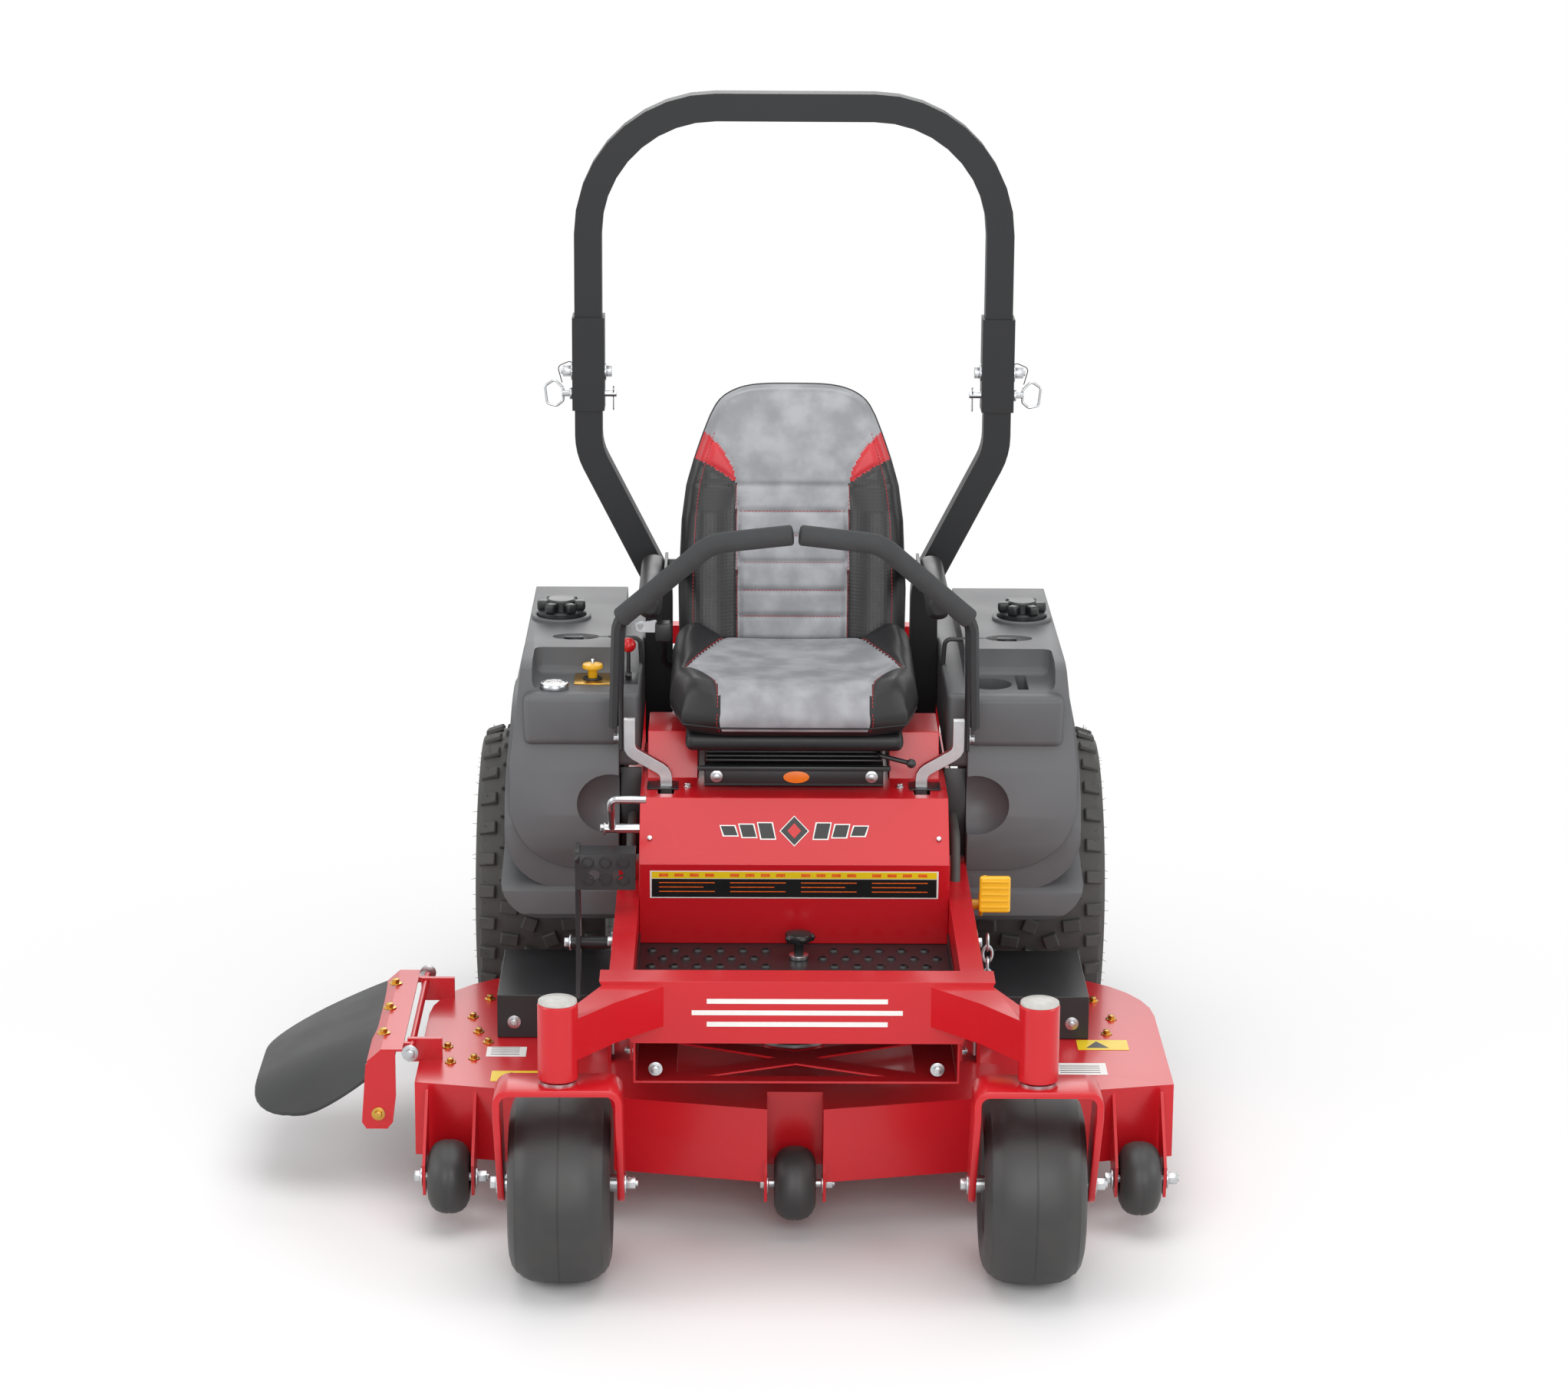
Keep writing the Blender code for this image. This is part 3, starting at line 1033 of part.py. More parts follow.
def build_chute():
    """Discharge deflector: hinged bracket and the rubber flap under it."""
    hinge_x, hinge_z = CHUTE_HINGE
    front = OUTER_SPINDLE_Y - 0.288
    back = OUTER_SPINDLE_Y + 0.142
    pivot = (hinge_x, (front + back) / 2, hinge_z)
    edge = -(DECK_HALF_WIDTH + CHUTE_REACH)
    line = [(hinge_x - 0.014, hinge_z + 0.004), (hinge_x - 0.050, hinge_z + 0.004),
            (hinge_x - 0.075, hinge_z - 0.018)]
    sheet = prism(ribbon(line, 0.002), "Y", front - 0.005, back)
    bracket = node("chute_bracket", sheet, RED, pivot=pivot, smooth=False)
    tab = hinge_z - 0.140
    leg = prism([(hinge_x - 0.026, hinge_z + 0.003), (hinge_x - 0.049, hinge_z + 0.003),
                 (hinge_x - 0.078, hinge_z - 0.022), (hinge_x - 0.086, tab + 0.012),
                 (hinge_x - 0.078, tab), (hinge_x - 0.042, tab), (hinge_x - 0.032, tab + 0.012),
                 (hinge_x - 0.026, tab + 0.060)], "Y", front - 0.006, front - 0.002)
    pin = rod((hinge_x, front + 0.010, hinge_z), (hinge_x, back - 0.010, hinge_z), 0.006, 14)
    webs = [box((hinge_x - 0.020, y, hinge_z - 0.0045), (hinge_x + 0.004, y + 0.012, hinge_z + 0.0052))
            for y in (front + 0.030, back - 0.042)]
    combine(bracket, "UNION", [leg, pin, *webs])

    top = hinge_z - 0.0008
    line = [(hinge_x - 0.026, top), (hinge_x - 0.045, top - 0.002), (hinge_x - 0.092, top - 0.042),
            (hinge_x - 0.180, top - 0.050), (hinge_x - 0.240, top - 0.078), (edge + 0.0025, top - 0.128)]
    outline = ribbon(line, 0.0025)
    outline = [(max(x, edge), z) for x, z in outline]
    node("chute_flap", prism(outline, "Y", front + 0.001, back - 0.001), RUBBER, pivot=pivot)


def main():
    """Build every part of the mower."""
    build_main_frame()
    build_front_beam()
    build_brace_tray()
    build_floor_pan()
    build_console()
    build_fuel_tanks()
    build_fuel_caps()
    build_power_unit()
    build_casters()
    build_drive_wheels()
    build_seat()
    build_steering()
    build_hand_controls()
    build_pedals()
    build_rops()
    build_deck()
    build_rollers()
    build_cutters()
    build_belt_covers()
    build_lift_links()
    build_chute()


main()
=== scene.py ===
"""Looks of a ride-on zero turn mower: finishes, fine shapes, light and camera.

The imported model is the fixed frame. Every class below dresses one sub-assembly:
it makes the fine pieces in the frame's metres and hangs each on its body.
+X is the operator's left, the machine faces -Y and +Z is up.
"""

from __future__ import annotations

import json
import logging
import random
from dataclasses import dataclass, field
from enum import Enum
from math import cos, pi, radians, sin, sqrt, tan, tau
from typing import Callable, Iterable, Sequence

import bmesh
import bpy
from mathutils import Matrix, Vector

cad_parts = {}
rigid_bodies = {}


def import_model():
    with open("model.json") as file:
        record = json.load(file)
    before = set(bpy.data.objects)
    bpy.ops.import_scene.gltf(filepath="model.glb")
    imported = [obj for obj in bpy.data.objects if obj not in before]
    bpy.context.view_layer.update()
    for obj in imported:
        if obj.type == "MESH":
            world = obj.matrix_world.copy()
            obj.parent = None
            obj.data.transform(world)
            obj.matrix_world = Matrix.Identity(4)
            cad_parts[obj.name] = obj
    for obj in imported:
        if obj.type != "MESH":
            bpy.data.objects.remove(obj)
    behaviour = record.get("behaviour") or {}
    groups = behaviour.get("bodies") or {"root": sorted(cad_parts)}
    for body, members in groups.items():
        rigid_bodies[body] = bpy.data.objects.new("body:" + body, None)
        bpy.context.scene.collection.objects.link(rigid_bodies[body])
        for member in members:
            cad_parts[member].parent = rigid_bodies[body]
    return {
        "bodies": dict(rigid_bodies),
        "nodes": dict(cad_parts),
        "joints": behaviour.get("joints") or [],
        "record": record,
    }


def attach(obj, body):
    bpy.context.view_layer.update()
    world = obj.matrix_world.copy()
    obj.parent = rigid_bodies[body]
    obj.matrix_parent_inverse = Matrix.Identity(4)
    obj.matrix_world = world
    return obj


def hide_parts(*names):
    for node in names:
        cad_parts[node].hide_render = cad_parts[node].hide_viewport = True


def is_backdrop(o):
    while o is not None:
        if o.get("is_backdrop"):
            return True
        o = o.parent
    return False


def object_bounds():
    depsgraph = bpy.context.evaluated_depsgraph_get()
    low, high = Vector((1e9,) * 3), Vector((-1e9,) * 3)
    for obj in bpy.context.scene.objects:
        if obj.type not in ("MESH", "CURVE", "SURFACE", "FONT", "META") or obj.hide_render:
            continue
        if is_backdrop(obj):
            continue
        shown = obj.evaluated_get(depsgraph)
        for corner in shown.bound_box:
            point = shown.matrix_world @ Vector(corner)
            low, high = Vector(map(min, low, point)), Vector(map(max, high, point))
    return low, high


log = logging.getLogger("mower")

Vec = Sequence[float]
Outline = Sequence[tuple[float, float]]
Shape = bmesh.types.BMesh
Tree = bpy.types.NodeTree
Socket = bpy.types.NodeSocket

MM = 0.001
FILM = 0.25 * MM                # thickness of a printed film or decal
SIDES: dict[str, int] = {"left": 1, "right": -1}


# --- colours
def linear(code: str) -> tuple[float, float, float, float]:
    """Turn an sRGB hex colour into linear values.

    Args:
        code: six hex digits, with or without a leading hash.

    Returns:
        Red, green, blue and an alpha of one.
    """
    code = code.lstrip("#")
    channels = []
    for start in (0, 2, 4):
        value = int(code[start:start + 2], 16) / 255
        low = value / 12.92
        high = ((value + 0.055) / 1.055) ** 2.4
        channels.append(low if value <= 0.04045 else high)
    return (channels[0], channels[1], channels[2], 1.0)


def add_node(tree: Tree, kind: str, settings: dict[str, object] | None = None,
             inputs: dict[str | int, object] | None = None) -> bpy.types.Node:
    """Add a shader node with its settings and its links.

    Args:
        tree: the material's node tree.
        kind: the node's type name.
        settings: attributes of the node.
        inputs: socket name or number to a value or to an output socket.

    Returns:
        The new node.
    """
    node = tree.nodes.new(kind)
    for name, value in (settings or {}).items():
        setattr(node, name, value)
    for name, value in (inputs or {}).items():
        if isinstance(value, Socket):
            tree.links.new(value, node.inputs[name])
        else:
            node.inputs[name].default_value = value
    return node


class Grain(Enum):
    """Kind of fine relief that a surface shows."""

    NONE = "none"
    NOISE = "noise"             # rounded bumps, as on powder coat or moulded grain
    CELLS = "cells"             # pores or pebbles, as on foam or leather
    BRUSHED = "brushed"         # long fine lines
    WEAVE = "weave"             # small crossed bars, as on embossed vinyl


@dataclass(frozen=True)
class Finish:
    """One finish: a real material, how it was made, and what that gives the eye.

    Attributes:
        name: what the material is.
        colour: sRGB hex of the clean surface.
        mottle: sRGB hex that the colour drifts towards in patches.
        patch: size of those patches, in metres.
        drift: how far the colour drifts, from 0 to 1.
        roughness: typical roughness.
        spread: how much the roughness changes from place to place.
        metallic: 1 for bare metal.
        coat: strength of a clear coat.
        grain: kind of relief.
        grain_size: size of one bump, in millimetres.
        relief: depth of the relief, in millimetres.
        specular: strength of the surface's own reflection.
        sheen: strength of the soft shine of fine fibres or bloom.
        made: the material, kept after it is first made.
    """

    name: str
    colour: str
    mottle: str = ""
    patch: float = 0.06
    drift: float = 0.5
    roughness: float = 0.5
    spread: float = 0.05
    metallic: float = 0.0
    coat: float = 0.0
    grain: Grain = Grain.NOISE
    grain_size: float = 1.0
    relief: float = 0.02
    specular: float = 0.5
    sheen: float = 0.0
    made: dict[str, bpy.types.Material] = field(default_factory=dict, compare=False, hash=False)

    def material(self) -> bpy.types.Material:
        """Return the material, which is made the first time it is asked for."""
        if "it" not in self.made:
            self.made["it"] = self._build()
        return self.made["it"]

    def _build(self) -> bpy.types.Material:
        """Make the node tree: colour drift, roughness drift and relief."""
        material = bpy.data.materials.new(self.name)
        material.use_nodes = True
        tree = material.node_tree
        shader = tree.nodes["Principled BSDF"]
        shader.inputs["Metallic"].default_value = self.metallic
        shader.inputs["Coat Weight"].default_value = self.coat
        shader.inputs["Coat Roughness"].default_value = 0.08
        shader.inputs["Specular IOR Level"].default_value = self.specular
        shader.inputs["Sheen Weight"].default_value = self.sheen
        shader.inputs["Roughness"].default_value = self.roughness
        place = add_node(tree, "ShaderNodeTexCoord").outputs["Object"]
        patches = add_node(tree, "ShaderNodeTexNoise", inputs={
            "Vector": place, "Scale": 1 / self.patch, "Detail": 3.0, "Roughness": 0.5})
        mix = add_node(tree, "ShaderNodeMix", {"data_type": "RGBA"}, {
            "Factor": self._share(tree, patches.outputs["Fac"]),
            6: linear(self.colour), 7: linear(self.mottle or self.colour)})
        tree.links.new(mix.outputs[2], shader.inputs["Base Color"])
        rough = add_node(tree, "ShaderNodeMapRange", {"interpolation_type": "SMOOTHSTEP"}, {
            "Value": patches.outputs["Fac"], "From Min": 0.2, "From Max": 0.8,
            "To Min": self.roughness - self.spread, "To Max": self.roughness + self.spread})
        tree.links.new(rough.outputs["Result"], shader.inputs["Roughness"])
        height = self._relief(tree, place)
        if height is not None:
            bump = add_node(tree, "ShaderNodeBump", inputs={
                "Height": height, "Distance": self.relief * MM, "Strength": 1.0})
            tree.links.new(bump.outputs["Normal"], shader.inputs["Normal"])
        return material

    def _share(self, tree: Tree,
               source: Socket) -> Socket:
        """Map a noise to the share of the mottle colour."""
        return add_node(tree, "ShaderNodeMapRange", {"interpolation_type": "SMOOTHSTEP"}, {
            "Value": source, "From Min": 0.3, "From Max": 0.72, "To Min": 0.0,
            "To Max": self.drift}).outputs["Result"]

    def _relief(self, tree: Tree,
                place: Socket) -> Socket | None:
        """Return the height of the relief, or nothing on a smooth surface."""
        scale = 1 / (self.grain_size * MM)
        if self.grain is Grain.NONE:
            return None
        if self.grain is Grain.NOISE:
            return add_node(tree, "ShaderNodeTexNoise", inputs={
                "Vector": place, "Scale": scale, "Detail": 2.0}).outputs["Fac"]
        if self.grain is Grain.CELLS:
            return add_node(tree, "ShaderNodeTexVoronoi", {"feature": "SMOOTH_F1"}, {
                "Vector": place, "Scale": scale}).outputs["Distance"]
        if self.grain is Grain.BRUSHED:
            stretch = add_node(tree, "ShaderNodeMapping", inputs={
                "Vector": place, "Scale": (1.0, 1.0, 0.04)})
            return add_node(tree, "ShaderNodeTexNoise", inputs={
                "Vector": stretch.outputs["Vector"], "Scale": scale}).outputs["Fac"]
        across = self._wave(tree, place, scale, "X")
        upward = self._wave(tree, place, scale, "Z")
        return add_node(tree, "ShaderNodeMath", {"operation": "MULTIPLY"}, {
            0: across, 1: upward}).outputs["Value"]

    def _wave(self, tree: Tree, place: Socket, scale: float,
              direction: str) -> Socket:
        """Return one set of straight bars of the embossed weave."""
        return add_node(tree, "ShaderNodeTexWave", {"bands_direction": direction}, {
            "Vector": place, "Scale": scale / 6.3}).outputs["Fac"]


# Polyester powder coat, sprayed and baked: deep gloss with a faint orange peel.
RED = Finish("red_powder_coat", "C0151F", "C71A25", 0.4, 0.4, 0.28, 0.01, coat=0.1,
             grain_size=1.6, relief=0.006, specular=0.42)
# The same process in black with a fine texture: satin, soft highlights.
BLACK = Finish("black_powder_coat", "1B1C1E", "232427", 0.2, 0.5, 0.4, 0.04,
               grain_size=1.2, relief=0.03)
# Heavier textured powder coat on the roll bar: dark grey, matt.
GRAPHITE = Finish("graphite_powder_coat", "191A1C", "1F2022", 0.25, 0.5, 0.5, 0.03,
                  grain_size=1.4, relief=0.03, specular=0.32)
# Rotationally moulded polyethylene: charcoal, waxy and slightly uneven.
POLYETHYLENE = Finish("moulded_polyethylene", "525355", "5B5C5E", 0.12, 0.6, 0.5, 0.05,
                      grain_size=0.9, relief=0.035)
# Injection moulded nylon: black with a soft shine.
NYLON = Finish("moulded_nylon", "17181A", "1F2022", 0.05, 0.5, 0.36, 0.04,
               grain_size=0.8, relief=0.012)
# Cured tyre rubber: near black, matt, a little brown where it scuffs.
RUBBER = Finish("tyre_rubber", "3A3A39", "474542", 0.04, 0.7, 0.62, 0.05,
                grain_size=1.0, relief=0.04)
# Smooth caster tyre: same rubber from a polished mould.
SMOOTH_RUBBER = Finish("smooth_tyre_rubber", "2F2F30", "393836", 0.05, 0.7, 0.5, 0.07,
                       grain_size=1.4, relief=0.02)
# Reinforced rubber sheet of the chute: dull, a touch of bloom.
SHEET_RUBBER = Finish("sheet_rubber", "242526", "313132", 0.08, 0.7, 0.5, 0.06,
                      grain_size=1.2, relief=0.03)
# Closed-cell foam grip: very dull, pitted.
FOAM = Finish("foam_grip", "3A3B3C", "434445", 0.03, 0.5, 0.82, 0.03, grain=Grain.CELLS,
              grain_size=1.4, relief=0.1, specular=0.3)
# Bright zinc plate on steel: cool grey metal with soft bands.
ZINC = Finish("bright_zinc", "C2C4C6", "AEB1B4", 0.03, 0.6, 0.3, 0.04, metallic=1.0,
              grain_size=2.5, relief=0.003)
# Yellow passivated zinc: gold with a green and pink drift.
GOLD_ZINC = Finish("yellow_zinc", "C9A24A", "B98A55", 0.008, 0.6, 0.3, 0.05, metallic=1.0,
                   grain=Grain.NONE)
# Aluminised steel of the exhaust: dull bright metal, slightly heat stained.
ALUMINISED = Finish("aluminised_steel", "9A9894", "86796A", 0.05, 0.7, 0.42, 0.06, metallic=1.0,
                    grain_size=1.0, relief=0.02)
# Hardened blade steel, ground along its length.
GROUND_STEEL = Finish("ground_steel", "7C7D80", "6A6B6E", 0.05, 0.5, 0.38, 0.05, metallic=1.0,
                      grain=Grain.BRUSHED, grain_size=0.8, relief=0.02)
# Die cast aluminium: pale grey with a sandy skin.
CAST = Finish("cast_aluminium", "A3A5A7", "8E9092", 0.03, 0.6, 0.48, 0.05, metallic=1.0,
              grain_size=1.5, relief=0.06)
# Calendered PVC seat cover with a hide print: grey, clouded, softly shining.
GREY_VINYL = Finish("grey_vinyl", "85868A", "A4A5A9", 0.055, 0.9, 0.52, 0.05, grain=Grain.CELLS,
                    grain_size=2.2, relief=0.06, specular=0.36)
# Black PVC with an embossed weave.
WOVEN_VINYL = Finish("embossed_black_vinyl", "161618", "1E1E21", 0.05, 0.5, 0.42, 0.04,
                     grain=Grain.WEAVE, grain_size=3.2, relief=0.2)
# Plain black PVC.
BLACK_VINYL = Finish("black_vinyl", "151517", "1C1C1E", 0.05, 0.5, 0.46, 0.04, grain=Grain.CELLS,
                     grain_size=1.8, relief=0.05, specular=0.42)
# Red PVC accents.
RED_VINYL = Finish("red_vinyl", "C1242C", "B01D27", 0.04, 0.5, 0.42, 0.04, grain=Grain.CELLS,
                   grain_size=1.8, relief=0.05)
# Bonded polyester thread.
RED_THREAD = Finish("red_thread", "A8202A", "A8202A", 0.01, 0.0, 0.55, 0.02, grain=Grain.NONE)
# Moulded ABS in yellow, orange and red.
YELLOW_ABS = Finish("yellow_abs", "E8B016", "E0A60F", 0.05, 0.5, 0.32, 0.03, grain=Grain.NONE)
ORANGE_ABS = Finish("orange_abs", "E8761A", "DD6A12", 0.05, 0.5, 0.3, 0.03, grain=Grain.NONE)
RED_ABS = Finish("red_abs", "C4161C", "BC1218", 0.05, 0.5, 0.26, 0.03, grain=Grain.NONE)
# Printed polyester films for plain marks.
WHITE_FILM = Finish("white_film", "E9E9E6", "E2E2DE", 0.03, 0.5, 0.34, 0.03, grain=Grain.NONE)
YELLOW_FILM = Finish("yellow_film", "EBCB1C", "E5C418", 0.03, 0.5, 0.34, 0.03, grain=Grain.NONE)
BLACK_FILM = Finish("black_film", "121213", "161617", 0.03, 0.5, 0.34, 0.03, grain=Grain.NONE)
ORANGE_FILM = Finish("orange_reflector", "E4581A", "F07A34", 0.004, 0.8, 0.22, 0.03,
                     grain=Grain.CELLS, grain_size=2.0, relief=0.15)
# Silver painted cap over the caster bearings.
PALE_CAP = Finish("pale_cap", "BDBBB6", "A9A7A2", 0.01, 0.6, 0.38, 0.05, grain=Grain.NONE)


# --- shapes
AXES: dict[str, Matrix] = {
    "X": Matrix(((0, 0, 1, 0), (1, 0, 0, 0), (0, 1, 0, 0), (0, 0, 0, 1))),
    "Y": Matrix(((1, 0, 0, 0), (0, 0, -1, 0), (0, 1, 0, 0), (0, 0, 0, 1))),
    "Z": Matrix.Identity(4),
}


def aim(direction: Vec) -> Matrix:
    """Return the turn that takes +Z to a direction."""
    return Vector(direction).to_track_quat("Z", "Y").to_matrix().to_4x4()


def soften(bm: Shape, width: float, segments: int = 2, angle: float = 30.0) -> None:
    """Round the sharp edges of a shape.

    Args:
        bm: the shape.
        width: how far the rounding reaches from an edge.
        segments: strips in the rounding.
        angle: edges sharper than this, in degrees, are rounded.
    """
    limit = radians(angle)
    edges = [edge for edge in bm.edges
             if len(edge.link_faces) == 2 and edge.calc_face_angle(0) > limit]
    if edges and width > 0:
        bmesh.ops.bevel(bm, geom=edges, offset=width, offset_type="OFFSET", segments=segments,
                        profile=0.5, affect="EDGES", material=-1, clamp_overlap=True)


def block(low: Vec, high: Vec, rounding: float = 1.0 * MM, segments: int = 2) -> Shape:
    """Return a box between two corners with rounded edges."""
    low, high = Vector(low), Vector(high)
    bm = bmesh.new()
    bmesh.ops.create_cube(bm, size=1.0,
        matrix=Matrix.Translation((low + high) / 2) @ Matrix.Diagonal((*(high - low), 1)))
    soften(bm, rounding, segments)
    return bm


def sealed(bm: Shape, distance: float = 1e-6) -> Shape:
    """Merge a shape's doubled points, turn its faces outwards and return it."""
    bmesh.ops.remove_doubles(bm, verts=bm.verts[:], dist=distance)
    bmesh.ops.recalc_face_normals(bm, faces=bm.faces[:])
    return bm


def moved(bm: Shape, *matrices: Matrix) -> Shape:
    """Transform a shape by the product of some matrices and return it."""
    total = Matrix.Identity(4)
    for matrix in matrices:
        total = total @ matrix
    bmesh.ops.transform(bm, matrix=total, verts=bm.verts[:])
    return bm


def shift(*place: float) -> Matrix:
    """Return the matrix of a move."""
    return Matrix.Translation(Vector(place))


def slab(outline: Outline, axis: str, low: float, high: float, rounding: float = 0.0,
         segments: int = 2, holes: Sequence[Outline] = ()) -> Shape:
    """Return a flat outline pulled out along an axis.

    Args:
        outline: points (y, z) for axis X, (x, z) for Y, (x, y) for Z.
        axis: the axis it is pulled along.
        low: where it starts on that axis.
        high: where it ends.
        rounding: rounding of its edges.
        segments: strips in the rounding.
        holes: outlines cut through it.

    Returns:
        The closed shape.
    """
    bm = bmesh.new()
    loops = []
    for ring in (outline, *holes):
        points = [bm.verts.new((u, v, 0)) for u, v in ring]
        loops += [bm.edges.new(pair) for pair in zip(points, points[1:] + points[:1])]
    made = bmesh.ops.triangle_fill(bm, use_beauty=True, use_dissolve=not holes, edges=loops)
    faces = [item for item in made["geom"] if isinstance(item, bmesh.types.BMFace)]
    pulled = bmesh.ops.extrude_face_region(bm, geom=faces)
    tops = [item for item in pulled["geom"] if isinstance(item, bmesh.types.BMVert)]
    bmesh.ops.translate(bm, verts=tops, vec=(0, 0, high - low))
    if holes:
        bmesh.ops.dissolve_limit(bm, angle_limit=0.01, verts=bm.verts[:], edges=bm.edges[:])
    start = {"X": (low, 0, 0), "Y": (0, high, 0), "Z": (0, 0, low)}[axis]
    moved(bm, shift(*start), AXES[axis])
    bmesh.ops.recalc_face_normals(bm, faces=bm.faces[:])
    soften(bm, rounding, segments)
    return bm


def spun(profile: Outline, centre: Vec, axis: str = "Z", steps: int = 48) -> Shape:
    """Return a turned shape.

    Args:
        profile: (radius, height) pairs; a profile that starts and ends on the axis is
            capped by it, and any other is closed into a ring.
        centre: where the axis starts.
        axis: the axis it is turned about.
        steps: faces round it.

    Returns:
        The closed shape.
    """
    bm = bmesh.new()
    points = [bm.verts.new((radius, 0, height)) for radius, height in profile]
    edges = [bm.edges.new(pair) for pair in zip(points, points[1:])]
    if profile[0][0] > 0:
        edges.append(bm.edges.new((points[-1], points[0])))
    bmesh.ops.spin(bm, geom=points + edges, cent=(0, 0, 0), axis=(0, 0, 1),
                   angle=tau, steps=steps, use_merge=True)
    return sealed(moved(bm, shift(*centre), AXES[axis]))


def rod(start: Vec, end: Vec, radius: float, sides: int = 20, end_radius: float | None = None,
        rounding: float = 0.0) -> Shape:
    """Return a cylinder or cone between two points."""
    start, end = Vector(start), Vector(end)
    bm = bmesh.new()
    bmesh.ops.create_cone(bm, cap_ends=True, segments=sides, radius1=radius,
        radius2=radius if end_radius is None else end_radius, depth=(end - start).length,
        matrix=Matrix.Translation((start + end) / 2) @ aim(end - start))
    soften(bm, rounding, 2, 50.0)
    return bm


def ball(centre: Vec, radius: float, steps: int = 24) -> Shape:
    """Return a sphere."""
    bm = bmesh.new()
    bmesh.ops.create_uvsphere(bm, u_segments=steps, v_segments=steps // 2, radius=radius,
        matrix=Matrix.Translation(Vector(centre)))
    return bm


def rounded(points: Sequence[Vec], radius: float, steps: int = 6) -> list[Vector]:
    """Return a path whose inner corners are arcs of one radius."""
    corners = [Vector(point) for point in points]
    path = [corners[0]]
    for before, corner, after in zip(corners, corners[1:], corners[2:]):
        back = (before - corner).normalized()
        on = (after - corner).normalized()
        half = back.angle(on) / 2
        centre = corner + (back + on).normalized() * radius / sin(half)
        first = corner + back * radius / tan(half) - centre
        last = corner + on * radius / tan(half) - centre
        turn = first.cross(last)
        for step in range(steps + 1):
            path.append(centre + Matrix.Rotation(first.angle(last) * step / steps, 3, turn) @ first)
    path.append(corners[-1])
    return path


def swept(path: Sequence[Vec], radius: float, sides: int = 16,
          closed: bool = False) -> Shape:
    """Return a round bar along a path.

    Args:
        path: its points.
        radius: its radius.
        sides: faces round it.
        closed: whether the path returns to its start.

    Returns:
        The closed shape.
    """
    points = [Vector(point) for point in path]
    count = len(points)
    bm = bmesh.new()
    bmesh.ops.create_circle(bm, cap_ends=True, segments=sides, radius=radius)
    first_ring = ring = bm.edges[:]
    local = {vert: vert.co.copy() for vert in bm.verts}
    if closed:
        bmesh.ops.delete(bm, geom=bm.faces[:], context="FACES_ONLY")
    heading = (points[1] - points[0]).normalized()
    frame = aim(heading).to_3x3()
    for index, point in enumerate(points):
        if closed:
            before, after = points[index - 1], points[(index + 1) % count]
        else:
            before, after = points[max(index - 1, 0)], points[min(index + 1, count - 1)]
        along_in = (point - before) if (point - before).length > 1e-9 else (after - point)
        along_out = (after - point) if (after - point).length > 1e-9 else (point - before)
        mean = (along_in.normalized() + along_out.normalized()).normalized()
        frame = heading.rotation_difference(mean).to_matrix() @ frame
        heading = mean
        if index:
            made = bmesh.ops.extrude_edge_only(bm, edges=ring)
            new_edges = [item for item in made["geom"] if isinstance(item, bmesh.types.BMEdge)]
            old_verts = {vert for edge in ring for vert in edge.verts}
            new_verts = {vert for edge in new_edges for vert in edge.verts} - old_verts
            for vert in new_verts:
                for edge in vert.link_edges:
                    if edge.other_vert(vert) in old_verts:
                        local[vert] = local[edge.other_vert(vert)]
            ring = [edge for edge in new_edges if new_verts.issuperset(edge.verts)]
        cosine = max(mean.dot(along_out.normalized()), 0.5)
        bend = along_in.normalized().cross(along_out.normalized())
        for vert in {vert for edge in ring for vert in edge.verts}:
            offset = frame @ local[vert]
            if bend.length > 1e-6:
                side = bend.normalized().cross(heading)
                offset += side * offset.dot(side) * (1 / cosine - 1)
            vert.co = point + offset
    if closed:
        bmesh.ops.bridge_loops(bm, edges=ring + first_ring)
    else:
        bmesh.ops.contextual_create(bm, geom=ring)
    return sealed(bm, 1e-7)


def arc(centre: tuple[float, float], radius: float, start: float, end: float,
        steps: int) -> list[tuple[float, float]]:
    """Return points on a circle from one angle to another, in degrees."""
    angles = [radians(start + (end - start) * step / steps) for step in range(steps + 1)]
    return [(centre[0] + radius * cos(a), centre[1] + radius * sin(a)) for a in angles]


def mirrored(profile: Outline) -> list[tuple[float, float]]:
    """Return a profile followed by its mirror image below the middle."""
    return [*profile, *((radius, -height) for radius, height in reversed(profile))]


def gridded(bm: Shape, axis: int, low: float, high: float, count: int) -> None:
    """Cut a shape into equal strips along an axis."""
    for step in range(1, count):
        spot, normal = Vector((0, 0, 0)), Vector((0, 0, 0))
        spot[axis] = low + (high - low) * step / count
        normal[axis] = 1
        bmesh.ops.bisect_plane(bm, geom=bm.verts[:] + bm.edges[:] + bm.faces[:], plane_co=spot,
            plane_no=normal)


def side_block(side: int, low: Vec, high: Vec, rounding: float = 1.0 * MM,
               segments: int = 2) -> Shape:
    """Return a box drawn on the operator's left, on the asked side."""
    near, far = sorted((side * low[0], side * high[0]))
    return block((near, *low[1:]), (far, *high[1:]), rounding, segments)


def ring_round(centre: Vec, radius: float, bar: float, normal: Vec, steps: int = 32,
               sides: int = 10) -> Shape:
    """Return a wire ring."""
    turn = Matrix.Translation(Vector(centre)) @ aim(normal)
    path = [turn @ Vector((radius * cos(a), radius * sin(a), 0))
            for a in (tau * step / steps for step in range(steps))]
    return swept(path, bar, sides, closed=True)


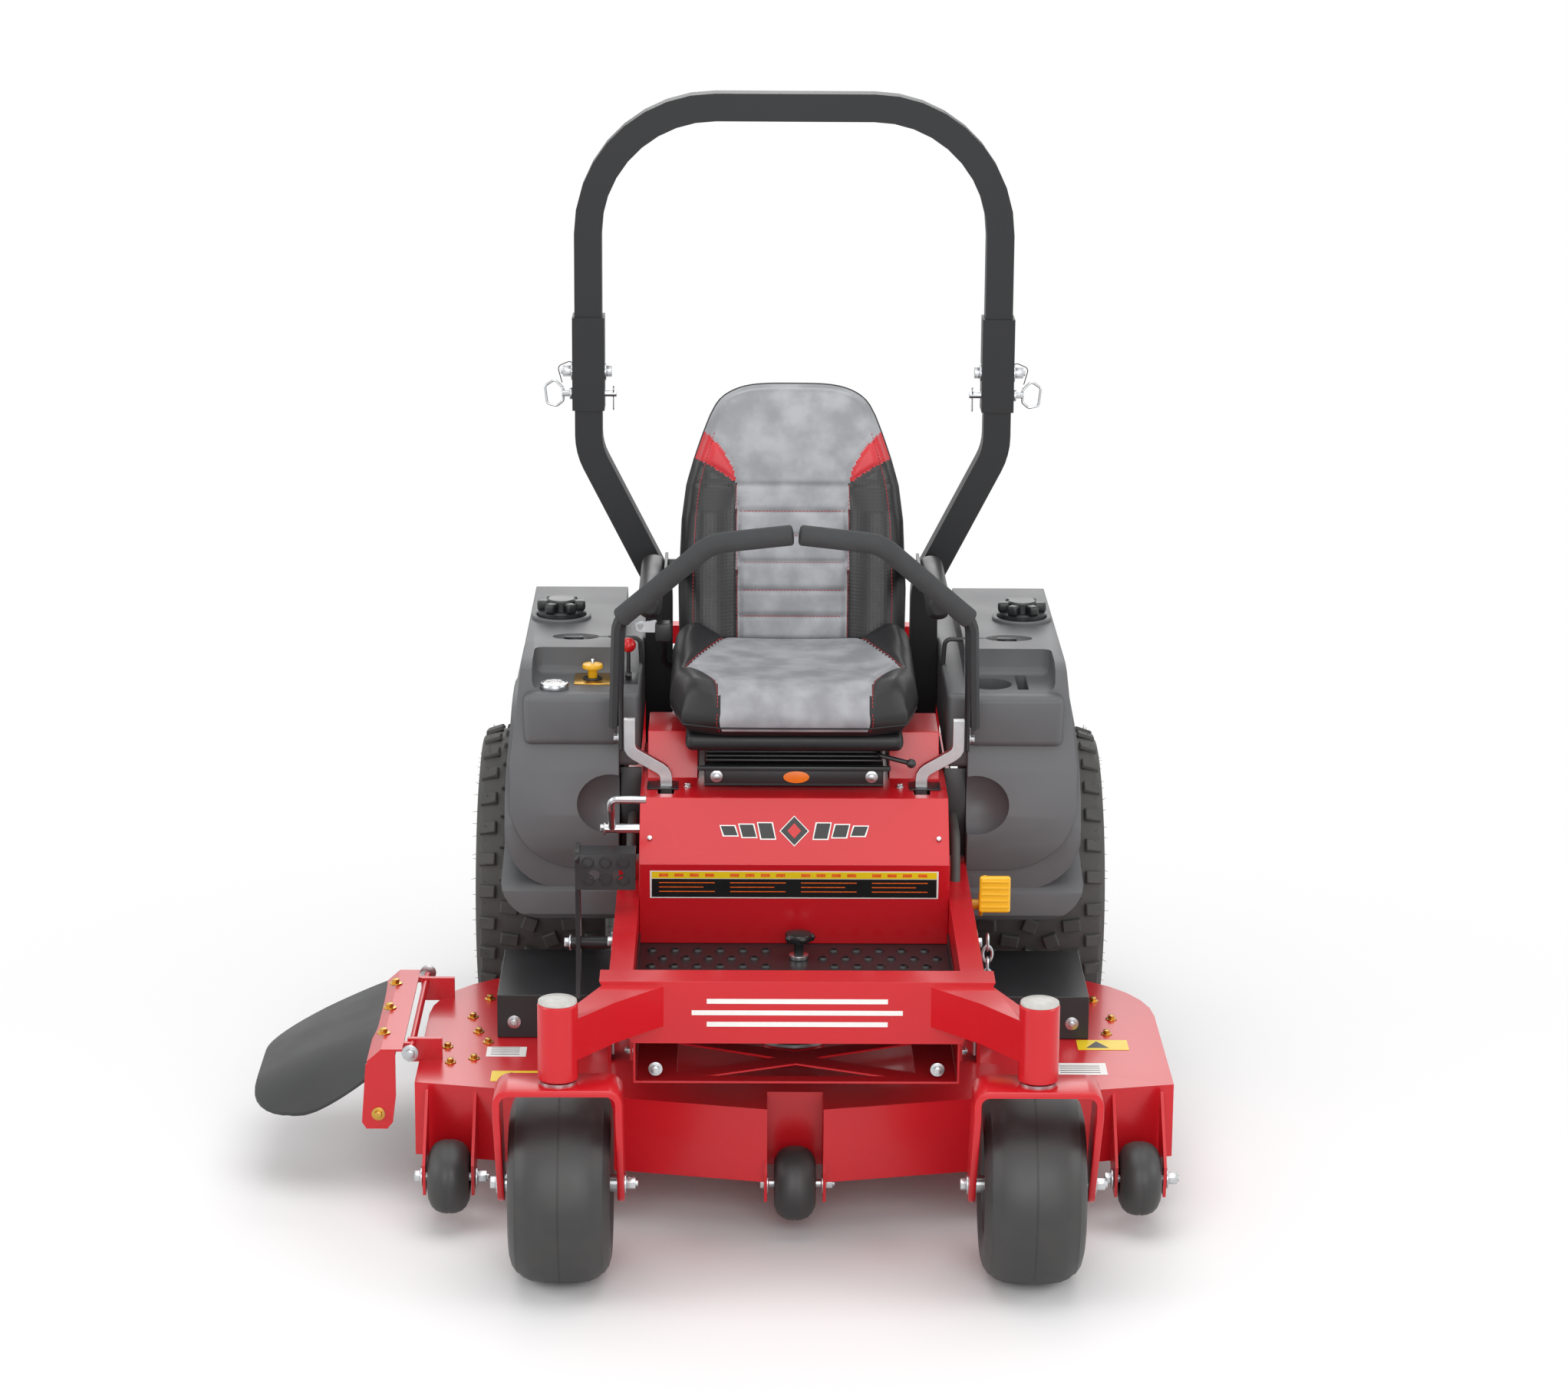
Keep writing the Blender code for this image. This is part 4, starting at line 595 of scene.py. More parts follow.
def hex_bolt(at: Vec, direction: Vec, across: float = 13 * MM, washer: bool = True,
             nut: bool = False) -> Shape:
    """Return a hexagon head, or a nut with its stud, on a washer.

    Args:
        at: the point on the clamped face.
        direction: the face's outward direction.
        across: width over the flats.
        washer: whether a washer lies under it.
        nut: whether it is a nut with the thread's end showing.

    Returns:
        The closed shapes in one mesh.
    """
    height = across * (0.82 if nut else 0.55)
    corner = across / sqrt(3)
    seat = 0.14 * across if washer else 0.0
    parts = bmesh.new()
    shapes = [(corner, seat - 0.02 * across, seat + height, 6, 0.05 * across)]
    if washer:
        shapes.append((across * 0.92, -0.04 * across, seat, 24, 0.03 * across))
    if nut:
        shapes.append((across * 0.3, seat, seat + height * 1.25, 12, 0.04 * across))
    for radius, low, high, sides, rounding in shapes:
        piece = rod((0, 0, low), (0, 0, high), radius, sides, rounding=rounding)
        append(parts, piece)
    return moved(parts, shift(*at), aim(direction))


def append(into: Shape, piece: Shape) -> Shape:
    """Move a shape's faces into another shape."""
    mesh = bpy.data.meshes.new("passing")
    piece.to_mesh(mesh)
    piece.free()
    into.from_mesh(mesh)
    bpy.data.meshes.remove(mesh)
    return into


def joined(pieces: Iterable[Shape]) -> Shape:
    """Return several shapes as one mesh of separate shells."""
    into = bmesh.new()
    for piece in pieces:
        append(into, piece)
    return into


def flipped(bm: Shape, side: int) -> Shape:
    """Mirror a shape to the asked side of the machine's middle plane."""
    if side < 0:
        bmesh.ops.scale(bm, vec=(-1, 1, 1), verts=bm.verts[:])
        bmesh.ops.reverse_faces(bm, faces=bm.faces[:])
    return bm


def object_from(bm: Shape, name: str, finish: Finish | Sequence[Finish],
                crease: float = 38.0) -> bpy.types.Object:
    """Turn a shape into an object at the origin.

    Args:
        bm: the shape.
        name: the piece's name.
        finish: its finish, or several where its faces name them by number.
        crease: edges sharper than this, in degrees, stay sharp.

    Returns:
        The object.
    """
    mesh = bpy.data.meshes.new(name)
    bm.to_mesh(mesh)
    bm.free()
    finishes = [finish] if isinstance(finish, Finish) else list(finish)
    for one in finishes:
        mesh.materials.append(one.material())
    mesh.shade_smooth()
    mesh.set_sharp_from_angle(angle=radians(crease))
    piece = bpy.data.objects.new(name, mesh)
    bpy.context.scene.collection.objects.link(piece)
    return piece


def applied(piece: bpy.types.Object) -> bpy.types.Object:
    """Make an object's modifiers part of its mesh."""
    bpy.context.view_layer.update()
    graph = bpy.context.evaluated_depsgraph_get()
    mesh = bpy.data.meshes.new_from_object(piece.evaluated_get(graph))
    old = piece.data
    piece.modifiers.clear()
    piece.data = mesh
    bpy.data.meshes.remove(old)
    return piece


def carved(solid: Shape, tools: Sequence[Shape],
           operation: str = "DIFFERENCE") -> Shape:
    """Return a shape after exact Booleans with other shapes."""
    base = bpy.data.objects.new("base", bpy.data.meshes.new("base"))
    solid.to_mesh(base.data)
    solid.free()
    bpy.context.scene.collection.objects.link(base)
    helpers = []
    for tool in tools:
        helper = bpy.data.objects.new("tool", bpy.data.meshes.new("tool"))
        tool.to_mesh(helper.data)
        tool.free()
        bpy.context.scene.collection.objects.link(helper)
        helpers.append(helper)
        modifier = base.modifiers.new("cut", "BOOLEAN")
        modifier.operation = operation
        modifier.solver = "EXACT"
        modifier.object = helper
    applied(base)
    bm = bmesh.new()
    bm.from_mesh(base.data)
    for item in (base, *helpers):
        mesh = item.data
        bpy.data.objects.remove(item)
        bpy.data.meshes.remove(mesh)
    bmesh.ops.remove_doubles(bm, verts=bm.verts[:], dist=1e-6)
    bmesh.ops.dissolve_limit(bm, angle_limit=radians(0.5), verts=bm.verts[:], edges=bm.edges[:])
    return bm


@dataclass
class Kit:
    """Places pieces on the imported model.

    Attributes:
        nodes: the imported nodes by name.
        middle: x of the machine's middle plane.
        axle: y of the caster axle, from which lengths are counted.
    """

    nodes: dict[str, bpy.types.Object]
    middle: float
    axle: float

    def at(self, x: float, y: float, z: float) -> Vector:
        """Return a point given from the middle plane, the caster axle and the ground."""
        return Vector((self.middle + x, self.axle + y, z))

    def place(self, bm: Shape) -> Shape:
        """Move a shape drawn about the datum into the frame."""
        bmesh.ops.translate(bm, verts=bm.verts[:], vec=(self.middle, self.axle, 0))
        return bm

    def add(self, shapes: Shape | Iterable[Shape], name: str,
            finish: Finish | Sequence[Finish], body: str = "frame",
            replaces: Sequence[str] = (), slot: str = "", crease: float = 38.0) -> bpy.types.Object:
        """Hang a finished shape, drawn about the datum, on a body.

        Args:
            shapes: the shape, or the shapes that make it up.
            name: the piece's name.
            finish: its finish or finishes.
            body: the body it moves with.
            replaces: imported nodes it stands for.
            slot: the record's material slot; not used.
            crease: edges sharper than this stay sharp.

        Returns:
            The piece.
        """
        bm = shapes if isinstance(shapes, Shape) else joined(shapes)
        piece = object_from(self.place(bm), name, finish, crease)
        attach(piece, body)
        if replaces:
            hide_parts(*replaces)
        log.info("%s on %s: %d faces", name, body, len(piece.data.polygons))
        return piece

    def refine_all(self, body: str,
                   rows: Iterable[tuple[str, Finish, float, int, float, str]]) -> None:
        """Refine several nodes of one body.

        Args:
            body: the body.
            rows: node, finish, rounding, strips in it, angle and slot of each.
        """
        for node, finish, width, segments, angle, slot in rows:
            self.refine(node, body, finish, width, segments, angle, slot)

    def refine(self, node: str, body: str, finish: Finish, width: float = 1.2 * MM,
               segments: int = 2, angle: float = 25.0, slot: str = "") -> bpy.types.Object:
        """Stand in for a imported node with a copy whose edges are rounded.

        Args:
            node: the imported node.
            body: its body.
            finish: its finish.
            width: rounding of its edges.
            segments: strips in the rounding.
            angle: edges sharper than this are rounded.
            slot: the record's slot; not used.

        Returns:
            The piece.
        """
        bm = bmesh.new()
        bm.from_mesh(self.nodes[node].data)
        bmesh.ops.remove_doubles(bm, verts=bm.verts[:], dist=1e-6)
        bmesh.ops.dissolve_limit(bm, angle_limit=radians(1.0), verts=bm.verts[:], edges=bm.edges[:])
        name = f"{node}_finished"
        piece = object_from(bm, name, finish, 30.0)
        bevel = piece.modifiers.new("rounding", "BEVEL")
        bevel.width = width
        bevel.segments = segments
        bevel.limit_method = "ANGLE"
        bevel.angle_limit = radians(angle)
        bevel.use_clamp_overlap = True
        bevel.harden_normals = True
        applied(piece)
        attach(piece, body)
        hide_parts(node)
        log.info("%s: %d faces", name, len(piece.data.polygons))
        return piece


# --- sub-assemblies
@dataclass
class Wheels:
    """Smooth front caster tyres, block tread rear tyres, rims and forks."""

    caster_track: float = 0.78
    trail: float = 0.1
    caster_radius: float = 0.165
    caster_width: float = 0.168
    caster_rim: float = 0.0762
    drive_radius: float = 0.3
    drive_width: float = 0.25
    drive_x: float = 0.469
    drive_y: float = 1.27
    drive_rim: float = 0.1524
    lug_depth: float = 10.0 * MM
    lug_rows: int = 30

    def build(self, kit: Kit) -> None:
        """Make both sides."""
        for word, side in SIDES.items():
            self._caster(kit, word, side)
            self._fork(kit, word, side)
            self._drive(kit, word, side)

    def _caster(self, kit: Kit, word: str, side: int) -> None:
        """Make a caster's tyre, rim and bearing caps."""
        centre = (side * self.caster_track / 2, 0.0, self.caster_radius)
        body = f"caster_wheel_{word}"
        half = self.caster_width / 2
        crown = self.caster_radius
        bead = self.caster_rim + 0.6 * MM
        wall = [(bead, half - 0.022), (bead + 0.006, half - 0.012), (bead + 0.012, half - 0.008),
                (bead + 0.013, half - 0.006), (bead + 0.017, half - 0.0055),
                (bead + 0.03, half - 0.001), (bead + 0.046, half), (bead + 0.06, half - 0.004),
                (crown - 0.017, half - 0.012), (crown - 0.016, half - 0.015),
                (crown - 0.009, half - 0.023), (crown - 0.0035, half - 0.036),
                (crown - 0.001, half - 0.056), (crown, 0.006), (crown, 0.0016),
                (crown - 0.0008, 0.0008)]
        kit.add(spun(mirrored(wall), centre, "X", 96), f"{body}_tyre", SMOOTH_RUBBER, body,
                [f"caster_tyre_{word}"], "tyre_rubber", crease=30)
        rim = self.caster_rim
        dish = [(0.0215, 0.046), (0.024, 0.048), (0.03, 0.046), (0.031, 0.03),
                (0.056, 0.026), (0.062, 0.03), (0.066, 0.05), (0.07, half - 0.016),
                (0.0735, half - 0.0125), (rim + 0.0015, half - 0.013),
                (rim + 0.001, half - 0.018), (rim - 0.0012, half - 0.022),
                (rim - 0.01, 0.03), (rim - 0.01, 0.0)]
        kit.add(spun(mirrored(dish), centre, "X", 64), f"{body}_rim", BLACK, body,
                [f"caster_rim_{word}"], "black_paint", crease=30)
        caps = joined(spun([(0.0, end * 0.052), (0.016, end * 0.052), (0.0195, end * 0.05), (0.0205,
            end * 0.044), (0.0, end * 0.044)], centre, "X", 40) for end in (-1, 1))
        kit.add(caps, f"{body}_bearing_caps", PALE_CAP, body)

    def _fork(self, kit: Kit, word: str, side: int) -> None:
        """Make a bent strap fork with its axle bolt, stem washer and dust cap."""
        x = side * self.caster_track / 2
        y = -self.trail
        body = f"caster_{word}"
        outer, inner, top, floor = 0.105, 0.0935, 0.3789, 0.135
        bend = 0.026
        corner = (x - outer + bend, top - bend)
        profile = [(x - outer, floor), (x - inner, floor)]
        profile += arc(corner, bend - (outer - inner), 180, 90, 8)
        outside = arc(corner, bend, 180, 90, 8)
        ring = profile + [(2 * x - u, v) for u, v in [*profile[::-1], *outside]] + outside[::-1]
        strap = slab(ring, "Y", y - 0.08, y + 0.14)
        side_view = [(y - 0.043, 0.395), (y + 0.044, 0.395), (y + 0.044, 0.35)]
        side_view += arc((0, self.caster_radius), 0.03, 24, -171, 13)
        side_view += [(y - 0.043, 0.33)]
        bm = carved(strap, [slab(side_view, "X", x - 0.2, x + 0.2)], "INTERSECT")
        soften(bm, 1.6 * MM, 2, 40)
        kit.add(bm, f"{body}_fork", RED, body, [f"caster_fork_{word}"], "red_paint", crease=35)
        z, hub = self.caster_radius, 0.053
        trim = []
        for end in (-1, 1):
            trim.append(hex_bolt((x + end * outer, 0, z), (end, 0, 0), 19 * MM, nut=end > 0))
            trim.append(rod((x + end * hub, 0, z), (x + end * outer, 0, z), 0.008))
            trim.append(rod((x + end * hub, 0, z), (x + end * (inner - 0.0002), 0, z), 0.0145, 28))
        kit.add(trim, f"{body}_axle", ZINC, body)
        washer = spun([(0, 0.3785), (0.03, 0.3785), (0.03, 0.3835), (0.025, 0.386), (0.0, 0.386)],
                      (x, y, 0), "Z", 40)
        kit.add(washer, f"{body}_stem_washer", ZINC, body)
        cap = spun([(0, 0.5143), (0.0302, 0.5143), (0.0318, 0.516), (0.0312, 0.5195), (0.028,
            0.5212), (0.012, 0.5222), (0.0, 0.5224)], (x, y, 0), "Z", 48)
        kit.add(cap, f"{body}_dust_cap", PALE_CAP, body)

    def _drive(self, kit: Kit, word: str, side: int) -> None:
        """Make a rear wheel: carcass, staggered tread blocks, dished rim, valve and nuts."""
        centre = (side * self.drive_x, self.drive_y, self.drive_radius)
        body = f"drive_wheel_{word}"
        half = self.drive_width / 2
        base = self.drive_radius - self.lug_depth
        bead = self.drive_rim + 0.6 * MM
        wall = [(bead, 0.093), (bead + 0.008, 0.1), (bead + 0.014, 0.101), (bead + 0.016, 0.1035),
            (bead + 0.024, 0.111), (bead + 0.047, half - 0.0035), (bead + 0.075, half),
            (bead + 0.092, half - 0.001), (base - 0.016, half - 0.004), (base - 0.006,
            half - 0.014), (base - 0.001, half - 0.036), (base, 0.03)]
        tyre = spun(mirrored(wall), centre, "X", 96)
        for piece in self._tread(centre, base):
            append(tyre, piece)
        kit.add(tyre, f"{body}_tyre", RUBBER, body, [f"drive_tyre_{word}"], "tyre_rubber",
                crease=30)
        kit.add(self._nubs(centre, half, random.Random(7 + side)), f"{body}_nubs", RUBBER, body)
        rim = self.drive_rim
        face = 0.028
        dish = [(0.0, face - 0.004), (0.03, face - 0.004), (0.034, face), (0.06, face),
                (0.07, face + 0.012), (0.118, face + 0.014), (0.128, face + 0.03),
                (0.134, 0.08), (rim - 0.006, 0.0935), (rim - 0.0005, 0.0975), (rim + 0.001, 0.095),
                (rim - 0.0004, 0.089), (rim - 0.01, 0.06), (rim - 0.012, -0.06),
                (rim - 0.001, -0.09), (rim - 0.002, -0.095), (rim - 0.007, -0.094),
                (rim - 0.018, -0.062), (0.129, 0.014), (0.118, face - 0.002), (0.07, face - 0.004),
                (0.06, face - 0.012), (0.0, face - 0.012)]
        bm = spun(dish, (0, 0, 0), "X", 64)
        flipped(bm, side)
        bmesh.ops.translate(bm, verts=bm.verts[:], vec=centre)
        kit.add(bm, f"{body}_rim", BLACK, body, [f"drive_rim_{word}"], "black_paint", crease=30)
        out = Vector((side, 0, 0))
        origin = Vector(centre)
        bolts = [hex_bolt(origin + out * face + Vector((0, 0.046 * cos(a),
            0.046 * sin(a))), out, 17 * MM,
            nut=True) for a in (tau * step / 5 for step in range(5))]
        bolts.append(rod(origin + out * (face - 0.003), origin + out * (face + 0.018), 0.02, 32,
            0.017, 1.0 * MM))
        kit.add(bolts, f"{body}_nuts", ZINC, body)
        valve = origin + out * (face + 0.012) + Vector((0, 0.098, 0.03))
        kit.add(rod(valve, valve + out * 0.03, 0.0045, 16, 0.0038, 0.8 * MM), f"{body}_valve",
                NYLON,
                body)

    def _nubs(self, centre: Vec, half: float, draw: random.Random) -> Shape:
        """Return the thin rubber hairs that the mould's vents leave on a new tyre.

        Args:
            centre: the wheel's centre.
            half: half of the tyre's width.
            draw: seeded random numbers.

        Returns:
            The hairs in one mesh.
        """
        hairs = []
        for row in range(54):
            for across, radius, out in ((half - 0.022, self.drive_radius - 0.007, 0.3),
                    (half - 0.0005, self.drive_radius - 0.06, 1.0)):
                for end in (-1, 1):
                    angle = tau * (row + draw.uniform(-0.35, 0.35)) / 54
                    ray = Vector((0, sin(angle), cos(angle)))
                    start = Vector(centre) + Vector((end * across, 0, 0)) + ray * radius
                    way = Vector((end * out, 0, 0)) + ray * (1.0 if out < 0.5 else 0.25)
                    way += Vector([draw.uniform(-0.35, 0.35) for _ in range(3)])
                    long = draw.uniform(0.004, 0.009)
                    if (start + way.normalized() * long).z < 0.004:
                        continue
                    hairs.append(rod(start, start + way.normalized() * long, 0.55 * MM, 5,
                        0.2 * MM))
        return joined(hairs)

    def _tread(self, centre: Vec, base: float) -> list[Shape]:
        """Return the tread blocks: two middle rows in chevrons and a shoulder row each side."""
        blocks = []
        top = self.drive_radius - 0.0004
        for row in range(self.lug_rows):
            for across, length, width, skew, lift, phase in (
                    (0.02, 0.03, 0.03, 20, 0.0, 0.0), (-0.02, 0.03, 0.03, -20, 0.0, 0.5),
                    (0.058, 0.026, 0.038, 8, 0.0012, 0.5), (-0.058, 0.026, 0.038, -8, 0.0012, 0.0),
                    (0.1, 0.026, 0.036, 0, 0.006, 0.0), (-0.1, 0.026, 0.036, 0, 0.006, 0.5)):
                bm = bmesh.new()
                bmesh.ops.create_cube(bm, size=1.0)
                upper = [vert for vert in bm.verts if vert.co.z > 0]
                bmesh.ops.scale(bm, vec=(0.86, 0.84, 1), verts=upper)
                tilt = radians(18 if abs(across) > 0.09 else 0) * (1 if across > 0 else -1)
                height = top - lift - base + 0.004
                moved(bm, shift(*centre),
                      Matrix.Rotation(tau * (row + phase) / self.lug_rows, 4, "X"),
                      shift(across, 0, top - lift - height / 2), Matrix.Rotation(tilt, 4, "Y"),
                      Matrix.Rotation(radians(skew), 4, "Z"),
                      Matrix.Diagonal((width, length, height, 1)))
                soften(bm, 1.6 * MM, 1, 40)
                blocks.append(bm)
        return blocks


@dataclass
class Seat:
    """Deep seat: base, bellows, cushion, back, armrests and belt."""

    cushion_low: tuple[float, float, float] = (-0.225, 0.6, 0.7652)
    cushion_high: tuple[float, float, float] = (0.225, 1.05, 0.85)
    back_foot: tuple[float, float] = (1.0506, 0.8)
    recline: float = 15.0
    back_half: float = 0.211
    back_height: float = 0.512
    back_thick: float = 0.085
    stitch: float = 4.2 * MM
    stitch_gap: float = 2.6 * MM
    # (height from -1 to 1, half width as a share)
    back_sides: tuple[tuple[float, float], ...] = (
        (-1.0, 0.96), (-0.9, 0.99), (-0.5, 1.0), (0.0, 0.975), (0.257, 0.935), (0.45, 0.87),
        (0.63, 0.8), (0.8, 0.73), (0.9, 0.68), (0.96, 0.64), (1.0, 0.6))
    back_lines: tuple[float, ...] = (0.257, 0.062, -0.124, -0.324, -0.531, -0.726, -0.915)

    def build(self, kit: Kit) -> None:
        """Make every piece of the seat."""
        self._cushion(kit)
        self._back(kit)
        self._armrests(kit)
        self._base(kit)
        self._belt(kit)

    def _pad(self, cells: tuple[int, int, int],
             shape: Callable[[Vector], Vector]) -> Shape:
        """Return a fine closed block whose points a shape function moves.

        Args:
            cells: how many cells along each side.
            shape: takes a point in -1..1, 0..1, 0..1 and returns its place.

        Returns:
            The closed shape.
        """
        bm = bmesh.new()
        bmesh.ops.create_cube(bm, size=1.0, matrix=Matrix.Translation((0, 0.5,
            0.5)) @ Matrix.Diagonal((2, 1, 1, 1)))
        for axis, count in enumerate(cells):
            gridded(bm, axis, -1 if axis == 0 else 0, 1, count)
        for vert in bm.verts:
            vert.co = shape(vert.co.copy())
        bmesh.ops.recalc_face_normals(bm, faces=bm.faces[:])
        return bm

    @staticmethod
    def _paint(bm: Shape, cover: Callable[[Vector, Vector], int]) -> None:
        """Give each face the finish that a function of its centre and normal names."""
        bm.normal_update()
        for face in bm.faces:
            face.material_index = cover(face.calc_center_median(), face.normal)

    @staticmethod
    def _round(value: float, edge: float, power: float = 2.2) -> float:
        """Return 1 in the middle and 0 at the edges of -1..1, rounded over the last part."""
        gap = (abs(value) - (1 - edge)) / edge
        return 1.0 if gap <= 0 else (1 - min(gap, 1.0) ** power) ** (1 / power)

    @staticmethod
    def _groove(value: float, at: float, width: float) -> float:
        """Return how deep a sewn groove is at a distance from its line."""
        return 1 / (1 + ((value - at) / width) ** 2) ** 2

    @staticmethod
    def _between(table: Sequence[tuple[float, float]], value: float) -> float:
        """Return a value read from a table with straight steps."""
        for (x0, y0), (x1, y1) in zip(table, table[1:]):
            if value <= x1:
                return y0 + (y1 - y0) * (value - x0) / (x1 - x0)
        return table[-1][1]

    def _thread(self, lines: Iterable[Sequence[Vector]]) -> Shape:
        """Return rows of short stitches along lines."""
        stitches = []
        pitch = self.stitch + self.stitch_gap
        for line in lines:
            walked, due = 0.0, 0.0
            for start, end in zip(line, line[1:]):
                span = (end - start).length
                while due < walked + span:
                    at = start + (end - start) * ((due - walked) / max(span, 1e-9))
                    along = (end - start).normalized()
                    stitches.append(rod(at, at + along * self.stitch, 0.75 * MM, 6))
                    due += pitch
                walked += span
        return joined(stitches)

    def _cushion_edge(self, v: float) -> float:
        """Return where the grey middle of the cushion ends, as a share of its half width."""
        if v < -0.15:
            return 0.61 + 0.27 * ((v + 1) / 0.85) ** 1.7
        return 0.88 - 0.3 * (v + 0.15)

    def _cushion_shape(self, point: Vector) -> Vector:
        """Return the place of a point of the cushion."""
        low, high = Vector(self.cushion_low), Vector(self.cushion_high)
        half, length, thick = high.x, high.y - low.y, high.z - low.z
        u, v, z = point.x, 2 * point.y - 1, point.z
        soft = self._round(u, 0.24) * self._round(v, 0.26)
        edge = self._cushion_edge(v)
        side = max(0.0, min(1.0, (abs(u) - edge) / 0.22))
        rise = 0.006 + 0.01 * max(0.0, -v - 0.2) - 0.01 * (1 - u * u) * (0.6 + 0.4 * v)
        rise += side * (0.006 + 0.026 * max(0.0, (v + 0.2) / 1.2) ** 1.5)
        rise -= 0.0065 * self._groove(abs(u) - edge, 0.0, 0.03)
        height = z * (0.5 + 0.5 * soft) * thick + z * z * rise * (0.35 + 0.65 * soft)
        spread = 1 - 0.07 * (1 - z) ** 2 - 0.022 * (2 * z - 1) ** 2
        corner = 1 - 0.1 * max(0.0, abs(u) - 0.6) * max(0.0, -v - 0.35) * 4
        nose = 0.018 * (1 - u * u) * max(0.0, -v) ** 3
        return Vector((half * u * spread * corner,
            low.y + length * (0.5 + v * spread * corner / 2) - nose * z * 0.5, low.z + height))

    def _cushion(self, kit: Kit) -> None:
        """Make the seat cushion: grey middle, black wings at the back, black front corners."""
        bm = self._pad((84, 76, 12), self._cushion_shape)
        low, high = Vector(self.cushion_low), Vector(self.cushion_high)

        def cover(place: Vector, normal: Vector) -> int:
            """Return 0 for grey and 1 for black."""
            u = place.x / high.x
            v = 2 * (place.y - low.y) / (high.y - low.y) - 1
            if place.z < low.z + 0.012:
                return 1
            if normal.y < -0.6:
                return 0 if abs(u) < 0.58 else 1
            return 1 if abs(u) > self._cushion_edge(max(v, -1.0)) - 0.02 else 0

        self._paint(bm, cover)
        piece = kit.add(bm, "seat_cushion_cover", (GREY_VINYL, BLACK_VINYL), "seat",
                        ["seat_cushion"], "seat_vinyl", crease=80)
        lines = []
        for side in (-1, 1):
            lines.append([self._cushion_shape(Vector((side * (self._cushion_edge(v) + 0.012),
                (v + 1) / 2, 1.0))) + Vector((0, 0,
                0.0006)) for v in (-0.995 + 1.9 * step / 60 for step in range(61))])
            lines.append([self._cushion_shape(Vector((side * 0.622, 0.0, 0.25 + 0.75 * step / 8)))
                          + Vector((0, -0.0006, 0)) for step in range(9)])
        kit.add(self._thread(lines), "cushion_stitches", RED_THREAD, "seat")
        welt = [self._cushion_shape(Vector((u, w, 0.42))) for u, w in self._rim(40)]
        kit.add(swept(welt, 2.0 * MM, 8, closed=True), "cushion_welt", BLACK_VINYL, "seat",
                crease=80)

    @staticmethod
    def _rim(steps: int) -> list[tuple[float, float]]:
        """Return points round the edge of -1..1 by 0..1."""
        ring = [(-1 + 2 * s / steps, 0.0) for s in range(steps)]
        ring += [(1.0, s / steps) for s in range(steps)]
        ring += [(1 - 2 * s / steps, 1.0) for s in range(steps)]
        return ring + [(-1.0, 1 - s / steps) for s in range(steps)]

    def _lean(self, bm: Shape) -> Shape:
        """Stand a shape drawn flat (Y up the back, Z towards the sitter) against the recline."""
        return moved(bm, shift(0, *self.back_foot), Matrix.Rotation(radians(-self.recline), 4, "X"),
            shift(0, self.back_thick, 0), AXES["Y"])

    @staticmethod
    def _accent_low(u: float) -> float:
        """Return the height at which the black side panel ends."""
        return 0.257 + 0.2 * max(0.0, (abs(u) - 0.5) / 0.38) ** 0.85

    @staticmethod
    def _accent_in(v: float) -> float:
        """Return how far in the red accent reaches at a height."""
        return 0.505 + 0.3 * max(0.0, (v - 0.257) / 0.4) ** 1.9

    def _back_shape(self, point: Vector) -> Vector:
        """Return the place of a point of the back, drawn flat."""
        half, length, thick = self.back_half, self.back_height, self.back_thick
        u, v, z = point.x, 2 * point.y - 1, point.z
        wide = self._between(self.back_sides, v)
        flat_u = u * wide
        soft = self._round(u, 0.2) * self._round(v, 0.13)
        edge = 0.485 + 0.012 * (v + 1)
        rise = 0.0
        low = self._accent_low(flat_u)
        if v < 0.3:
            fade = max(0.0, min(1.0, (0.3 - v) / 0.25))
            swell = max(0.0, min(1.0, (abs(flat_u) - edge) / 0.25))
            rise += 0.018 * fade * sin(swell * pi / 2)
            rise -= 0.0075 * self._groove(abs(flat_u), edge, 0.028) * fade
        if abs(flat_u) < edge:
            for line in self.back_lines:
                rise -= 0.006 * self._groove(v, line, 0.022)
        else:
            rise -= 0.005 * self._groove(v, low, 0.022)
        if v > 0.257:
            rise += 0.01 * self._groove(v, 0.68, 0.45)
            rise -= 0.004 * self._groove(abs(flat_u), self._accent_in(v), 0.026) * (v < 0.66)
        height = 0.5 + (z - 0.5) * (0.34 + 0.66 * soft)
        side = 1 - 0.03 * (2 * z - 1) ** 2
        arch = 0.085 * u ** 4 * max(0.0, v) ** 4
        return Vector((half * flat_u * side, length * (0.5 + v * side / 2 - arch * 0.5),
                       thick * height + z * z * rise * soft))

    def _back(self, kit: Kit) -> None:
        """Make the seat back: head pad, red accents, channelled middle, black side wings."""
        bm = self._pad((92, 132, 10), self._back_shape)
        half, length = self.back_half, self.back_height

        def cover(place: Vector, normal: Vector) -> int:
            """Return 0 grey, 1 black weave, 2 plain black, 3 red."""
            u = place.x / half
            v = 2 * place.y / length - 1
            if place.z < 0.04 or normal.z < -0.2:
                return 2
            if v > self._accent_low(u) and abs(u) > 0.5:
                return 3 if abs(u) > self._accent_in(v) and v < 0.66 else 0
            if abs(u) > 0.485 + 0.012 * (v + 1):
                return 1 if abs(u) < 0.86 else 2
            return 0

        self._paint(bm, cover)
        piece = kit.add(self._lean(bm), "seat_back_cover", (GREY_VINYL, WOVEN_VINYL, BLACK_VINYL,
            RED_VINYL), "seat", ["seat_back"], "seat_vinyl", crease=80)
        self._back_trim(kit)

    def _on_back(self, u: float, v: float, lift: float = 0.0006) -> Vector:
        """Return a point on the face of the back, at a share of the full half width."""
        wide = self._between(self.back_sides, v)
        return self._back_shape(Vector((u / wide, (v + 1) / 2, 1.0))) + Vector((0, 0, lift))

